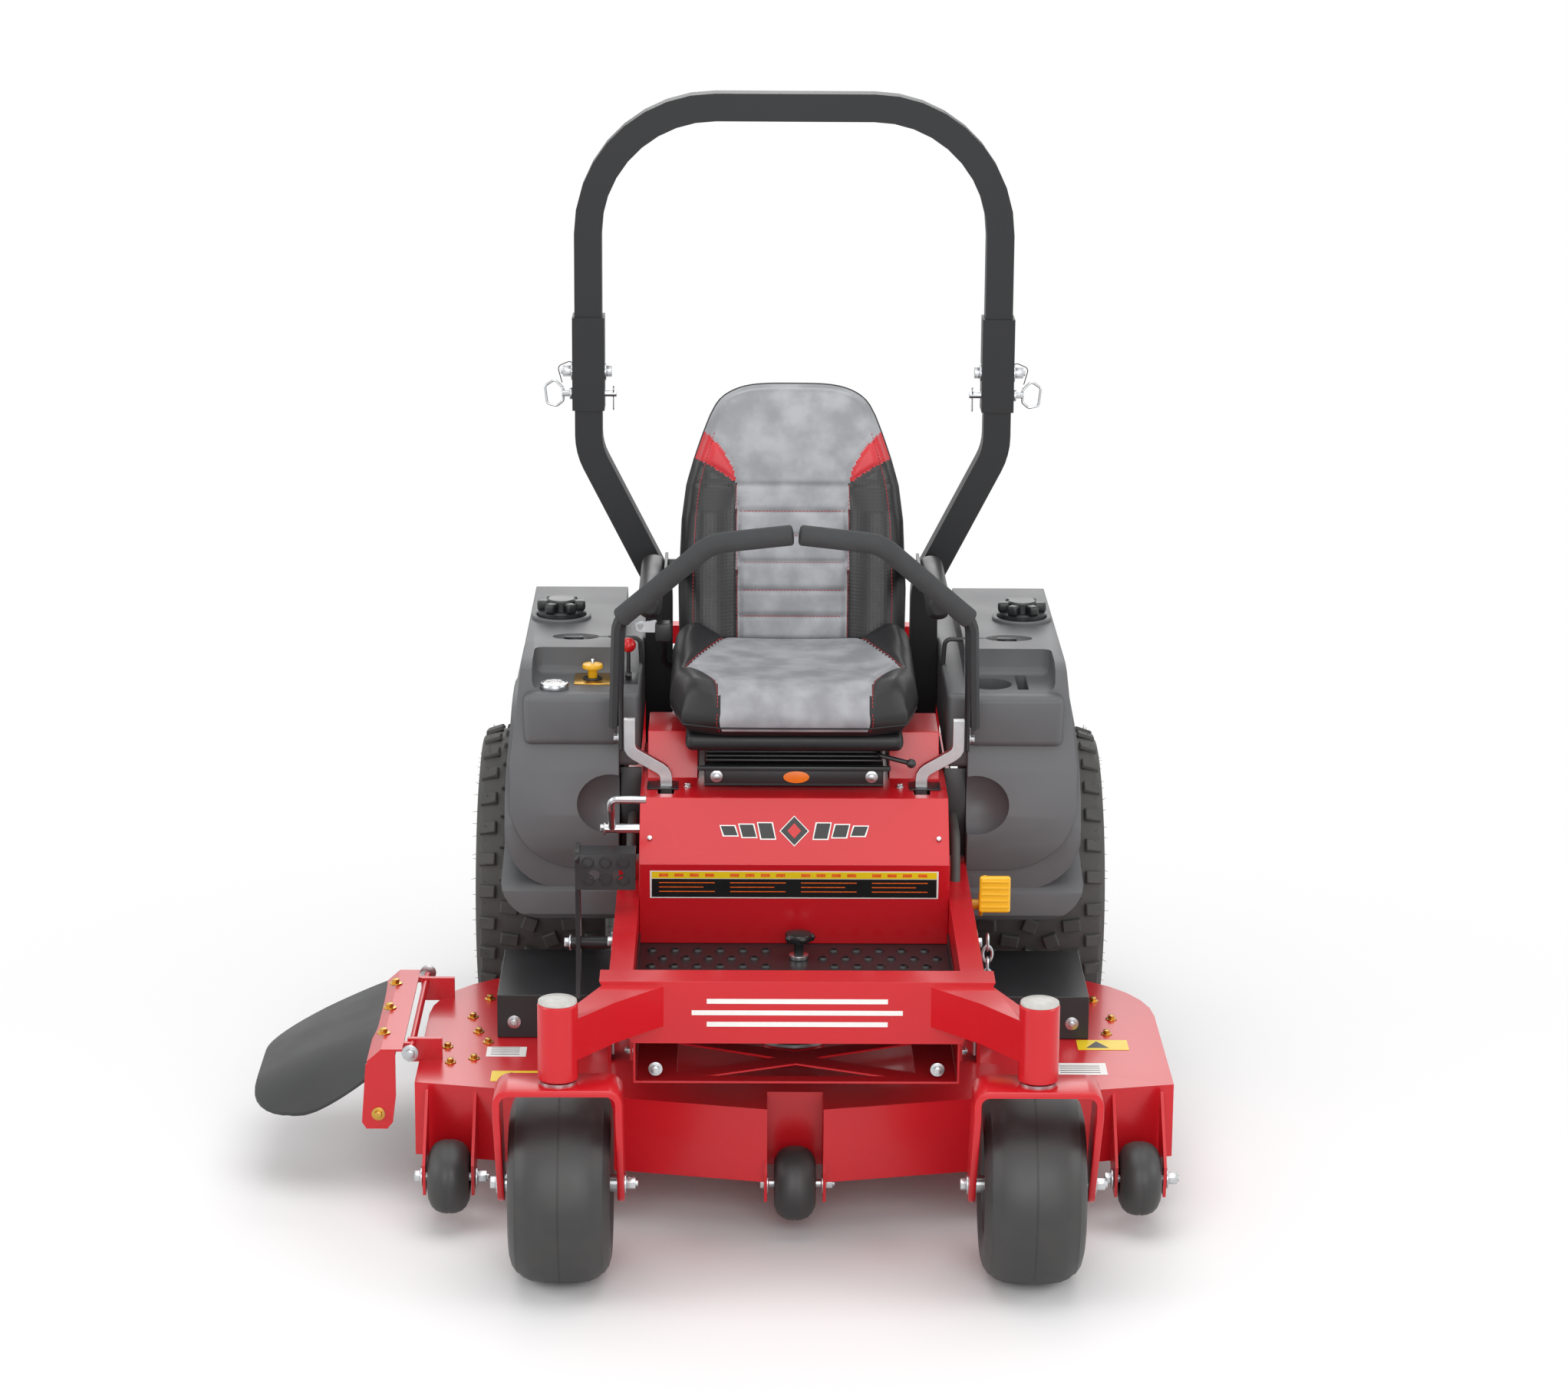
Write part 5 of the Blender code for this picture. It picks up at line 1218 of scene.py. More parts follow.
    def _back_trim(self, kit: Kit) -> None:
        """Sew the seams of the back and lay its welt."""
        lines = [[self._on_back(-0.475 + 0.95 * step / 24, line) for step in range(25)]
                 for line in self.back_lines]
        for side in (-1, 1):
            lines.append([self._on_back(side * (0.5 + 0.012 * (v + 1)), v)
                          for v in (-0.96 + 1.21 * step / 40 for step in range(41))])
            lines.append([self._on_back(side * 0.905 * self._between(self.back_sides, v), v)
                          for v in (-0.9 + 1.55 * step / 40 for step in range(41))])
        kit.add(self._lean(self._thread(lines)), "back_stitches", RED_THREAD, "seat")
        welt = [self._back_shape(Vector((u, w, 0.6))) for u, w in self._rim(40)]
        kit.add(self._lean(swept(welt, 2.0 * MM, 8, closed=True)), "back_welt", BLACK_VINYL, "seat",
                crease=80)
        shell = slab([(-0.175, 0.02), (0.175, 0.02), (0.185, 0.2), (0.165, 0.38), (0.12, 0.47),
                      (-0.12, 0.47), (-0.165, 0.38), (-0.185, 0.2)], "Z", -0.0045, 0.006, 3 * MM, 3)
        kit.add(self._lean(shell), "back_shell", NYLON, "seat")

    def _armrests(self, kit: Kit) -> None:
        """Make the padded arms on their pivots."""
        for word, side in SIDES.items():
            def shape(point: Vector, side: int = side) -> Vector:
                """Round the pad and taper its rear end."""
                v = 2 * point.y - 1
                end = 0.55 + 0.45 * self._round(v, 0.16)
                drop = 0.75 + 0.25 * min(1.0, (1 - point.y) * 3)
                across, up = point.x, 2 * point.z - 1
                wide = across * sqrt(1 - 0.42 * up * up)
                high = up * sqrt(1 - 0.42 * across * across)
                return Vector((side * 0.2595 + 0.0222 * wide * end, 0.802 + 0.345 * point.y,
                               0.9553 + 0.0268 * high * end * drop))

            pad = kit.add(self._pad((16, 44, 16), shape), f"armrest_pad_{word}", BLACK_VINYL,
                          f"armrest_{word}", [f"armrest_{word}"], "seat_vinyl", crease=80)
            pivot = Vector((side * 0.2125, 1.13, 0.955))
            out = Vector((side, 0, 0))
            arm = joined([side_block(side, (0.232, 1.0, 0.932), (0.2375, 1.15, 0.976)),
                rod(pivot + out * 0.001, pivot + out * 0.02, 0.0125, 28, rounding=1 * MM)])
            kit.add(arm, f"armrest_bracket_{word}", BLACK, f"armrest_{word}")

    def _base(self, kit: Kit) -> None:
        """Make the seat's base: tilt frame, bellows, front plate with bolts and slide lever."""
        kit.refine("seat_base", "seat_mount", BLACK, 2.0 * MM)
        folds = []
        for step in range(4):
            low = 0.701 + 0.008 * step
            folds.append(block((-0.158, 0.676, low), (0.158, 0.994, low + 0.0066), 3.2 * MM, 3))
        kit.add(folds, "seat_bellows", NYLON, "seat_mount")
        skirt = block((-0.193, 0.628, 0.733), (0.193, 1.0, 0.7645), 13 * MM, 5)
        kit.add(skirt, "seat_pan_skirt", BLACK_VINYL, "seat_mount")
        plate = joined([block((-0.158, 0.66, 0.6665), (0.158, 0.6655, 0.696), 1.5 * MM),
                        block((-0.172, 0.656, 0.69), (0.172, 0.666, 0.6985), 1.5 * MM)])
        kit.add(plate, "seat_front_plate", BLACK, "seat_mount")
        bolts = [hex_bolt((side * 0.138, 0.66, 0.6795), (0, -1, 0), 12 * MM) for side in (-1, 1)]
        kit.add(bolts, "seat_plate_bolts", ZINC, "seat_mount")
        badge = moved(rod((0, 0, 0), (0, 0, 0.0016), 0.011, 32, rounding=0.5 * MM), shift(0.004,
            0.66, 0.6785), Matrix.Rotation(radians(90), 4, "X"), Matrix.Diagonal((2.1, 1.0, 1.0,
            1.0)))
        kit.add(badge, "seat_plate_badge", ORANGE_ABS, "seat_mount")
        lever = rounded([(0.15, 0.7, 0.7275), (0.15, 0.64, 0.725), (0.205, 0.605, 0.72)], 0.018)
        kit.add(joined([swept(lever, 0.0042, 12), ball((0.206, 0.604, 0.72), 0.0085)]),
                "seat_slide_lever", NYLON, "seat_mount")

    def _belt(self, kit: Kit) -> None:
        """Make the belt's buckle stalk and the webbing end with its steel tongue."""
        stalk = rounded([(-0.2, 0.985, 0.78), (-0.238, 0.96, 0.815), (-0.236, 0.93, 0.87)], 0.03)
        kit.add(swept(stalk, 0.006, 12), "belt_stalk", NYLON, "seat")
        holder = block((-0.252, 0.898, 0.864), (-0.222, 0.928, 0.9), 4.0 * MM, 3)
        kit.add(holder, "belt_buckle", NYLON, "seat")
        tongue = slab([(-0.25, 0.88), (-0.28, 0.88), (-0.288, 0.884), (-0.288, 0.8965), (-0.28,
            0.9), (-0.25, 0.904)], "Y", 0.91, 0.9122, 0.5 * MM, 1, [[(-0.283, 0.8865), (-0.274,
            0.8865), (-0.274, 0.8945), (-0.283, 0.8945)]])
        kit.add(tongue, "belt_tongue", ZINC, "seat")


@dataclass
class Pods:
    """Moulded fuel tanks with their stepped fenders, caps and small controls."""

    inner: float = 0.314
    outer: float = 0.53
    front: float = 0.742
    back: float = 1.44
    lip: float = 0.385
    shelf: float = 0.8
    top: float = 0.8498
    wheel: tuple[float, float] = (1.27, 0.3)
    arch: float = 0.33
    cap_place: tuple[float, float, float] = (0.433, 1.15, 0.8503)
    cup_place: tuple[float, float] = (0.358, 0.854)
    valve_place: tuple[float, float] = (0.4, 1.0)
    gauge_place: tuple[float, float] = (-0.432, 0.812)
    switch_place: tuple[float, float] = (-0.365, 0.87)
    throttle_place: tuple[float, float] = (-0.3, 0.885)
    throttle_rise: float = 0.0063

    def build(self, kit: Kit) -> None:
        """Make both pods and what stands on them."""
        for word, side in SIDES.items():
            bm = self._body(side)
            kit.add(flipped(bm, side), f"pod_{word}", POLYETHYLENE, "frame",
                    [f"fuel_tank_{word}"], "black_plastic", crease=42)
            self._cap(kit, word, side)
            self._valve(kit, word, side)
        self._right_controls(kit)

    @staticmethod
    def _front_outline(inner: float, outer: float, low: float, corner: float,
                       top_outer: float) -> list[tuple[float, float]]:
        """Return a front outline with one big rounded lower corner."""
        ring = [(inner, low), *arc((outer - corner, low + corner), corner, -90, 0, 10)[:-1]]
        ring += [(outer - 0.001, low + corner + 0.06), (top_outer, 0.9), (inner, 0.9)]
        return ring

    def _layer(self, side_view: Outline, front_view: Outline, rounding: float) -> Shape:
        """Return the common part of a side outline and a front outline, well rounded."""
        body = slab(side_view, "X", self.inner, 0.6)
        bm = carved(body, [slab(front_view, "Y", 0.6, 1.6)], "INTERSECT")
        soften(bm, rounding, 4, 24)
        return bm

    def _body(self, side: int) -> Shape:
        """Return one pod drawn on the operator's left."""
        f, rear = self.front, self.back
        main_view = arc(self.wheel, self.arch + 0.002, 59, 150, 14) + [
            (f + 0.06, 0.452), (f + 0.01, 0.47), (f + 0.001, 0.52), (f + 0.004, 0.58),
            (f + 0.018, 0.66), (f + 0.038, 0.72), (f + 0.06, self.top - 0.01), (f + 0.09, self.top),
            (rear - 0.04, self.top), (rear, self.top - 0.04)]
        main = self._layer(main_view, self._front_outline(self.inner, 0.513, 0.478, 0.13, 0.486),
            12 * MM)
        step_view = arc(self.wheel, self.arch + 0.001, 57, 155, 14) + [
            (f + 0.05, 0.422), (f + 0.014, 0.432), (f + 0.01, 0.56), (f + 0.05, 0.66),
            (f + 0.15, 0.715), (f + 0.3, 0.74), (rear - 0.06, 0.735), (rear - 0.008, 0.69)]
        step = self._layer(step_view, self._front_outline(self.inner, 0.5225, 0.44, 0.105, 0.508),
            8 * MM)
        lip_view = arc(self.wheel, self.arch, 58, 165, 14) + [
            (f + 0.048, self.lip), (f + 0.006, self.lip), (f, self.lip + 0.01), (f + 0.004,
                                                                                 self.lip + 0.052),
            (f + 0.022, self.lip + 0.064)] + arc(self.wheel, self.arch + 0.056, 150, 60, 14)
        lip = self._layer(lip_view, self._front_outline(self.inner, self.outer, self.lip, 0.075,
            self.outer - 0.001), 6 * MM)
        cheek = block((0.2762, f + 0.042, 0.662), (self.inner + 0.03, self.wheel[0] + 0.125,
            self.shelf - 0.0008), 9 * MM, 3)
        shelf_box = block((self.inner, f + 0.02, 0.706), (0.486, f + 0.19, self.shelf), 13 * MM, 4)
        cut_shelf = block((0.25, f - 0.05, self.shelf + 0.0004), (0.472, f + 0.178, 0.95), 16 * MM,
            3)
        bm = carved(main, [step, lip, cheek], "UNION")
        bm = carved(bm, [cut_shelf])
        bm = carved(bm, [shelf_box], "UNION")
        cuts = [moved(ball((0, 0, 0), 1.0, 40), shift(0.33, f - 0.002, 0.603),
                      Matrix.Diagonal((0.062, 0.045, 0.056, 1)))]
        if side > 0:
            cuts.append(rod((*self.cup_place, 0.74), (*self.cup_place, 0.9), 0.038, 48, 0.0415))
            cuts.append(block((0.406, 0.814, 0.74), (0.426, 0.91, 0.9), 3 * MM, 2))
        cuts.append(moved(ball((0, 0, 0), 1.0, 32), shift(*self.valve_place, self.top + 0.004),
            Matrix.Diagonal((0.044, 0.024, 0.022, 1))))
        cuts.append(swept([(0.34, 1.0, self.top), (0.27, 1.0, self.top)], 0.0075, 12))
        return carved(bm, cuts)

    def _cap(self, kit: Kit, word: str, side: int) -> None:
        """Make a fuel cap with six finger lobes and a raised middle."""
        centre = (side * self.cap_place[0], *self.cap_place[1:])
        base = spun([(0, 0), (0.042, 0), (0.044, 0.002), (0.044, 0.013), (0.04, 0.016),
                     (0, 0.016)], centre, "Z", 64)
        parts = [base, spun([(0, 0.015), (0.0275, 0.015), (0.027, 0.033), (0.024, 0.0358), (0.015,
            0.0352), (0, 0.034)], centre, "Z", 48)]
        for step in range(6):
            angle = tau * step / 6
            lobe = block((0.014, -0.0095, 0.014), (0.0452, 0.0095, 0.0325), 4.5 * MM, 3)
            parts.append(moved(lobe, shift(*centre), Matrix.Rotation(angle, 4, "Z")))
        kit.add(parts, f"fuel_cap_lobed_{word}", NYLON, f"fuel_cap_{word}",
                [f"fuel_cap_{word}"], "black_plastic")
        neck = spun([(0.0465, -0.004), (0.056, -0.004), (0.056, 0.004), (0.054, 0.006),
                     (0.048, 0.006), (0.0465, 0.0045)], centre, "Z", 56)
        kit.add(neck, f"filler_neck_{word}", POLYETHYLENE)

    def _right_controls(self, kit: Kit) -> None:
        """Make the gauge, the pull switch and the throttle on the operator's right."""
        z = self.shelf
        gauge = (*self.gauge_place, z)
        kit.add(spun([(0, 0.0004), (0.0255, 0.0004), (0.0262, 0.003), (0.0262, 0.0085), (0.0245,
            0.011), (0.0215, 0.0115), (0.0205, 0.0095), (0, 0.0095)], gauge, "Z", 56), "fuel_gauge",
            ZINC)
        kit.add(spun([(0, 0.0096), (0.02, 0.0096), (0.02, 0.0101), (0, 0.0101)], gauge, "Z", 48),
                "gauge_face", WHITE_FILM)
        marks = [rod((*outer, z + 0.01), (*inner, z + 0.0104), 0.0006, 6) for outer,
            inner in zip(arc(self.gauge_place, 0.016, 30, 150, 6), arc(self.gauge_place, 0.012, 30,
            150, 6))]
        kit.add(marks, "gauge_marks", BLACK_FILM)
        plate = block((-0.398, 0.835, z + 0.0002), (-0.317, 0.93, z + 0.003), 0.8 * MM)
        kit.add(plate, "switch_plate", GOLD_ZINC)
        switch = (*self.switch_place, z)
        knob = spun([(0, 0.0035), (0.0085, 0.0035), (0.0085, 0.018), (0.0105, 0.022), (0.0185,
            0.024), (0.019, 0.028), (0.0175, 0.031), (0.008, 0.033), (0, 0.033)], switch, "Z", 40)
        kit.add(knob, "blade_switch_knob", YELLOW_ABS, "blade_switch", ["blade_switch"],
                "yellow_plastic")
        kit.add(rod((*self.switch_place, z + 0.003), (*self.switch_place, z + 0.04), 0.0032, 16,
                    rounding=0.6 * MM), "blade_switch_stem", ZINC, "blade_switch")
        kit.add(spun([(0.01, 0.0028), (0.0175, 0.0028), (0.0175, 0.005), (0.016, 0.0064),
                      (0.01, 0.0064)], switch, "Z", 40), "switch_collar", NYLON)
        x, y = self.throttle_place
        pivot = z + self.throttle_rise
        lever = joined([rod((x, y, pivot), (x, y, z + 0.058), 0.0036, 14), rod((x - 0.006, y,
            pivot), (x + 0.006, y, pivot), 0.006, 28, rounding=0.8 * MM)])
        kit.add(lever, "throttle_stem", BLACK, "throttle", ["throttle_lever"], "black_paint")
        kit.add(ball((x, y, z + 0.063), 0.0136, 32), "throttle_ball", RED_ABS, "throttle")
        box = block((x - 0.018, y - 0.039, z - 0.03), (x + 0.018, y + 0.045, z), 2.0 * MM)
        kit.add(box, "throttle_box", BLACK)

    def _valve(self, kit: Kit, word: str, side: int) -> None:
        """Make a fuel valve lever lying in its dish, with its hose."""
        x, y, z = side * self.valve_place[0], self.valve_place[1], self.top
        body = joined([spun([(0, -0.014), (0.0125, -0.014), (0.0125, -0.006), (0.009, -0.003), (0,
            -0.003)], (x, y, z), "Z", 24), block((x - 0.022, y - 0.0045, z - 0.0065), (x + 0.014,
            y + 0.0045, z + 0.0005), 1.5 * MM)])
        kit.add(body, f"fuel_valve_{word}", NYLON)
        hose = rounded([(x - side * 0.02, y, z - 0.004), (x - side * 0.118, y, z - 0.002),
                        (x - side * 0.122, y + 0.02, z - 0.08)], 0.012)
        kit.add(swept(hose, 0.0042, 12), f"fuel_hose_{word}", RUBBER)


@dataclass
class RollBar:
    """Square tube roll bar with hinge bolts and ring pins."""

    post_x: float = 0.381
    y: float = 1.2
    face: float = 0.03
    pin_z: float = 1.268
    hinge_z: float = 1.31

    def build(self, kit: Kit) -> None:
        """Make posts, hoop and their fastenings."""
        for node, body in (("rops_post_left", "frame"), ("rops_post_right", "frame"),
                           ("rops_hoop", "rops")):
            kit.refine(node, body, GRAPHITE, 5.0 * MM, 3, 20, "black_paint")
        for word, side in SIDES.items():
            self._fastenings(kit, word, side)

    def _fastenings(self, kit: Kit, word: str, side: int) -> None:
        """Make one side's hinge bolt, lock pin, ring, hairpin and lanyard."""
        def near(out: float, back: float, up: float) -> Vector:
            """Return a point from where the lock pin leaves the post's outer face."""
            return Vector((side * (self.post_x + self.face + out), self.y + back, self.pin_z + up))

        bolts = [hex_bolt((side * self.post_x + end * self.face, self.y, self.hinge_z), (end, 0, 0),
            19 * MM, nut=end == side) for end in (-1, 1)]
        kit.add(bolts, f"rops_hinge_bolt_{word}", ZINC, "rops")
        inner = -2 * self.face
        grab = [near(0.018, 0, 0.01), near(0.018, 0, -0.014), near(0.03, 0, -0.024),
                near(0.048, 0, -0.02), near(0.052, 0, 0.014), near(0.034, 0, 0.026)]
        pin = [rod(near(inner - 0.022, 0, 0), near(0.02, 0, 0), 0.0062, 20, rounding=1 * MM),
               rod(near(0.0004, 0, 0), near(0.006, 0, 0), 0.0115, 24, rounding=1 * MM),
               swept(rounded(grab + grab[:1], 0.007, 5), 0.0024, 10)]
        kit.add(pin, f"lock_pin_{word}", ZINC, "rops")
        hair = [near(inner - 0.016, *place) for place in (
            (-0.012, 0.01), (0.003, -0.006), (-0.004, -0.03), (0.01, -0.032), (0.005, 0.014))]
        kit.add(swept(rounded(hair, 0.004, 4), 0.0013, 8), f"hairpin_{word}", ZINC, "rops")
        tie = [near(0.02, 0.002, 0.02), near(0.028, -0.006, 0.052), near(0.006, -0.01, 0.062),
               near(-0.001, -0.012, 0.06)]
        kit.add(swept(rounded(tie, 0.01, 5), 0.0009, 8), f"lanyard_{word}", BLACK_FILM, "rops")


@dataclass
class Body:
    """Frame, console, front beam, tray, floor pan and the marks on them."""

    front: float = 0.53
    fold: float = 0.5553
    leg_foot: float = 0.4023
    pan_top: float = 0.402
    knob_place: tuple[float, float] = (0.008, 0.47)

    def build(self, kit: Kit) -> None:
        """Make the painted sheet work and its fastenings."""
        kit.refine_all("frame", (
            ("main_frame", RED, 2.0 * MM, 2, 25, "red_paint"),
            ("console", RED, 1.8 * MM, 3, 20, "red_paint"),
            ("front_beam", RED, 3.0 * MM, 3, 25, "red_paint"),
            ("brace_tray", RED, 1.2 * MM, 2, 25, "red_paint")))
        self._marks(kit)
        self._floor(kit)
        self._bolts(kit)
        self._details(kit)

    def _film(self, kit: Kit, name: str, finish: Finish, low: Vec, high: Vec) -> None:
        """Lay a thin printed film between two corners."""
        kit.add(block(low, high, 0.08 * MM, 1), name, finish)

    def _marks(self, kit: Kit) -> None:
        """Lay plain stripes and blank labels on the console and the beam."""
        rise = 0.0215 / (self.fold - self.leg_foot)

        def sheet(x0: float, x1: float, z0: float, z1: float, lift: float) -> Shape:
            """Return a film on the leaning leg panel."""
            lean = [(self.front + rise * (self.fold - z) - lift, z) for z in (z0, z1)]
            ring = [(lean[0][0], z0), (lean[1][0], z1), (lean[1][0] + FILM, z1),
                    (lean[0][0] + FILM, z0)]
            return slab(ring, "X", x0, x1)

        kit.add(sheet(-0.254, 0.254, 0.4905, 0.543, 0.45 * MM), "strip_edge", WHITE_FILM)
        kit.add(sheet(-0.251, 0.251, 0.4925, 0.5275, 0.75 * MM), "strip_black", BLACK_FILM)
        kit.add(sheet(-0.251, 0.251, 0.5285, 0.5412, 0.75 * MM), "strip_yellow", YELLOW_FILM)
        bars = []
        for group in range(4):
            start = -0.238 + group * 0.125
            for step in range(4):
                bars.append(sheet(start + step * 0.027, start + step * 0.027 + 0.016, 0.5318,
                    0.5378, 0.95 * MM))
            for row in range(3):
                bars.append(sheet(start, start + 0.098 - 0.02 * (row % 2), 0.5195 - row * 0.0085,
                    0.5212 - row * 0.0085, 0.95 * MM))
        kit.add(bars, "strip_bars", ORANGE_FILM)
        self._emblem(kit)
        beam = []
        for z, half in ((0.464, 0.15), (0.444, 0.175), (0.424, 0.15)):
            beam.append(block((-half, 0.0564, z - 0.0042), (half, 0.0569, z + 0.0042), 0.08 * MM,
                1))
        kit.add(beam, "beam_stripes", WHITE_FILM)

    def _emblem(self, kit: Kit) -> None:
        """Lay a plain chevron mark on the console's slope."""
        slope = Vector((0, 0.088, 0.0967)).normalized()
        out = Vector((0, -slope.z, slope.y))
        turn = Matrix((Vector((1, 0, 0)), slope, out)).transposed().to_4x4()
        turn = Matrix.Translation(Vector((0, self.front + 0.044, self.fold + 0.04835))) @ turn

        def flat(rings: Sequence[Outline], lift: float) -> Shape:
            """Return films cut to outlines on the slope."""
            return moved(joined(slab(ring, "Z", lift, lift + FILM) for ring in rings), turn)

        def chevrons(grow: float) -> list[Outline]:
            """Return a row of slanted bars and a middle lozenge."""
            rings: list[Outline] = []
            for side in (-1, 1):
                for step in range(3):
                    x = 0.034 + step * 0.033
                    tall = 0.015 - step * 0.003 + grow
                    ring = [(side * (x - grow), -tall), (side * (x + 0.024 + grow), -tall),
                            (side * (x + 0.03 + grow), tall), (side * (x + 0.006 - grow), tall)]
                    rings.append(ring if side > 0 else ring[::-1])
            wide, high = 0.024 + grow, 0.028 + grow
            rings.append([(-wide, 0.0), (0.0, -high), (wide, 0.0), (0.0, high)])
            return rings

        kit.add(flat(chevrons(0.0022), 0.35 * MM), "emblem_edge", WHITE_FILM)
        kit.add(flat(chevrons(0.0), 0.7 * MM), "emblem_dark", BLACK_FILM)
        small = [[(-0.012, 0.0), (0.0, -0.015), (0.012, 0.0), (0.0, 0.015)]]
        kit.add(flat(small, 1.05 * MM), "emblem_middle", RED_ABS)

    def _floor(self, kit: Kit) -> None:
        """Make the black foot pan with raised grip rings and its knob."""
        kit.refine("floor_pan", "frame", BLACK, 1.2 * MM, 2, 25, "black_paint")
        rings = []
        for row in range(9):
            for column in range(13):
                x = (column - 6) * 0.04 + (0.01 if row % 2 else -0.01)
                y = 0.16 + row * 0.044
                if abs(x) > 0.252 or (abs(x) < 0.045 and y > 0.4):
                    continue
                rings.append(spun([(0.0055, 0.0), (0.0095, 0.0), (0.0068, 0.0034), (0.0055,
                    0.0034)], (x, y, self.pan_top + 0.0001), "Z", 12))
        kit.add(rings, "grip_rings", BLACK)
        knob = [spun([(0, 0.0), (0.015, 0.0), (0.015, 0.003), (0.0085, 0.005), (0.0085, 0.026),
            (0.011, 0.03), (0.0235, 0.034), (0.0245, 0.04), (0.0225, 0.046), (0.01, 0.049), (0,
            0.049)], (*self.knob_place, self.pan_top + 0.0002), "Z", 40)]
        for place in arc(self.knob_place, 0.021, 0, 288, 4):
            knob.append(ball((*place, self.pan_top + 0.0395), 0.0075, 16))
        kit.add(knob, "floor_knob", NYLON)
        washer = rod((*self.knob_place, self.pan_top), (*self.knob_place, self.pan_top + 0.008),
            0.0175, 28, rounding=1 * MM)
        kit.add(washer, "floor_knob_washer", ZINC)

    def _bolts(self, kit: Kit) -> None:
        """Put hexagon bolts where the sheets are joined."""
        bolts = []
        for side in (-1, 1):
            for y, z in ((0.15, 0.345), (0.3, 0.345)):
                bolts.append(hex_bolt((side * 0.2733, y, z), (side, 0, 0), 13 * MM, nut=True))
            for y, z in ((0.205, 0.445), (0.4, 0.455), (1.02, 0.445), (1.56, 0.445), (1.7, 0.444)):
                bolts.append(hex_bolt((side * 0.3136, y, z), (side, 0, 0), 16 * MM))
            for x, y in ((0.215, 0.15), (0.215, 0.29)):
                bolts.append(hex_bolt((side * x, y, 0.3898), (0, 0, 1), 12 * MM))
            bolts.append(hex_bolt((side * 0.236, 0.1, 0.33), (0, -1, 0), 13 * MM))
            bolts.append(hex_bolt((side * 0.19, 0.69, 0.6522), (0, 0, 1), 9 * MM))
            bolts.append(hex_bolt((side * 0.255, 0.563, 0.5925), (0, -0.74, 0.67), 8 * MM,
                washer=False))
        kit.add(bolts, "frame_bolts", ZINC)

    def _details(self, kit: Kit) -> None:
        """Make the clutch plates, reflector, chain and hoses between the pods."""
        for word, side in SIDES.items():
            plate = side_block(side, (0.206, 0.666, 0.6524), (0.262, 0.716, 0.6545), 0.6 * MM)
            kit.add(plate, f"slot_plate_{word}", BLACK)
        for word, side in SIDES.items():
            low, high = sorted((side * 0.274, side * 0.3128))
            shield = joined([block((low, 0.785, 0.496), (high, 0.788, 0.66), 0.6 * MM), block((low,
                0.785, 0.496), (low + 0.003, 1.04, 0.65), 0.6 * MM)])
            kit.add(shield, f"linkage_shield_{word}", BLACK)
            hose = rounded([(side * 0.29, 0.79, 0.57), (side * 0.291, 0.69, 0.56),
                            (side * 0.29, 0.64, 0.475)], 0.04)
            kit.add(swept(hose, 0.0085, 14), f"hydraulic_hose_{word}", RUBBER)
        self._film(kit, "reflector", ORANGE_FILM, (0.3138, 0.19, 0.412), (0.3144, 0.32, 0.455))
        self._film(kit, "white_patch", WHITE_FILM, (0.3138, 0.33, 0.4), (0.3142, 0.352, 0.47))
        links = []
        for step in range(7):
            centre = Vector((0.3365, 0.43, 0.446 - step * 0.0215))
            flat = (0, 1, 0) if step % 2 else (1, 0, 0)
            ring = ring_round((0, 0, 0), 0.0082, 0.0024, (0, 0, 1), 20, 8)
            across, up = Vector(flat), Vector((0, 0, 1))
            stand = Matrix((across.cross(up), up, across)).transposed().to_4x4()
            links.append(moved(ring, shift(*centre), stand, Matrix.Diagonal((1.0, 1.65, 1.0, 1.0))))
        kit.add(links, "lift_chain", ZINC)


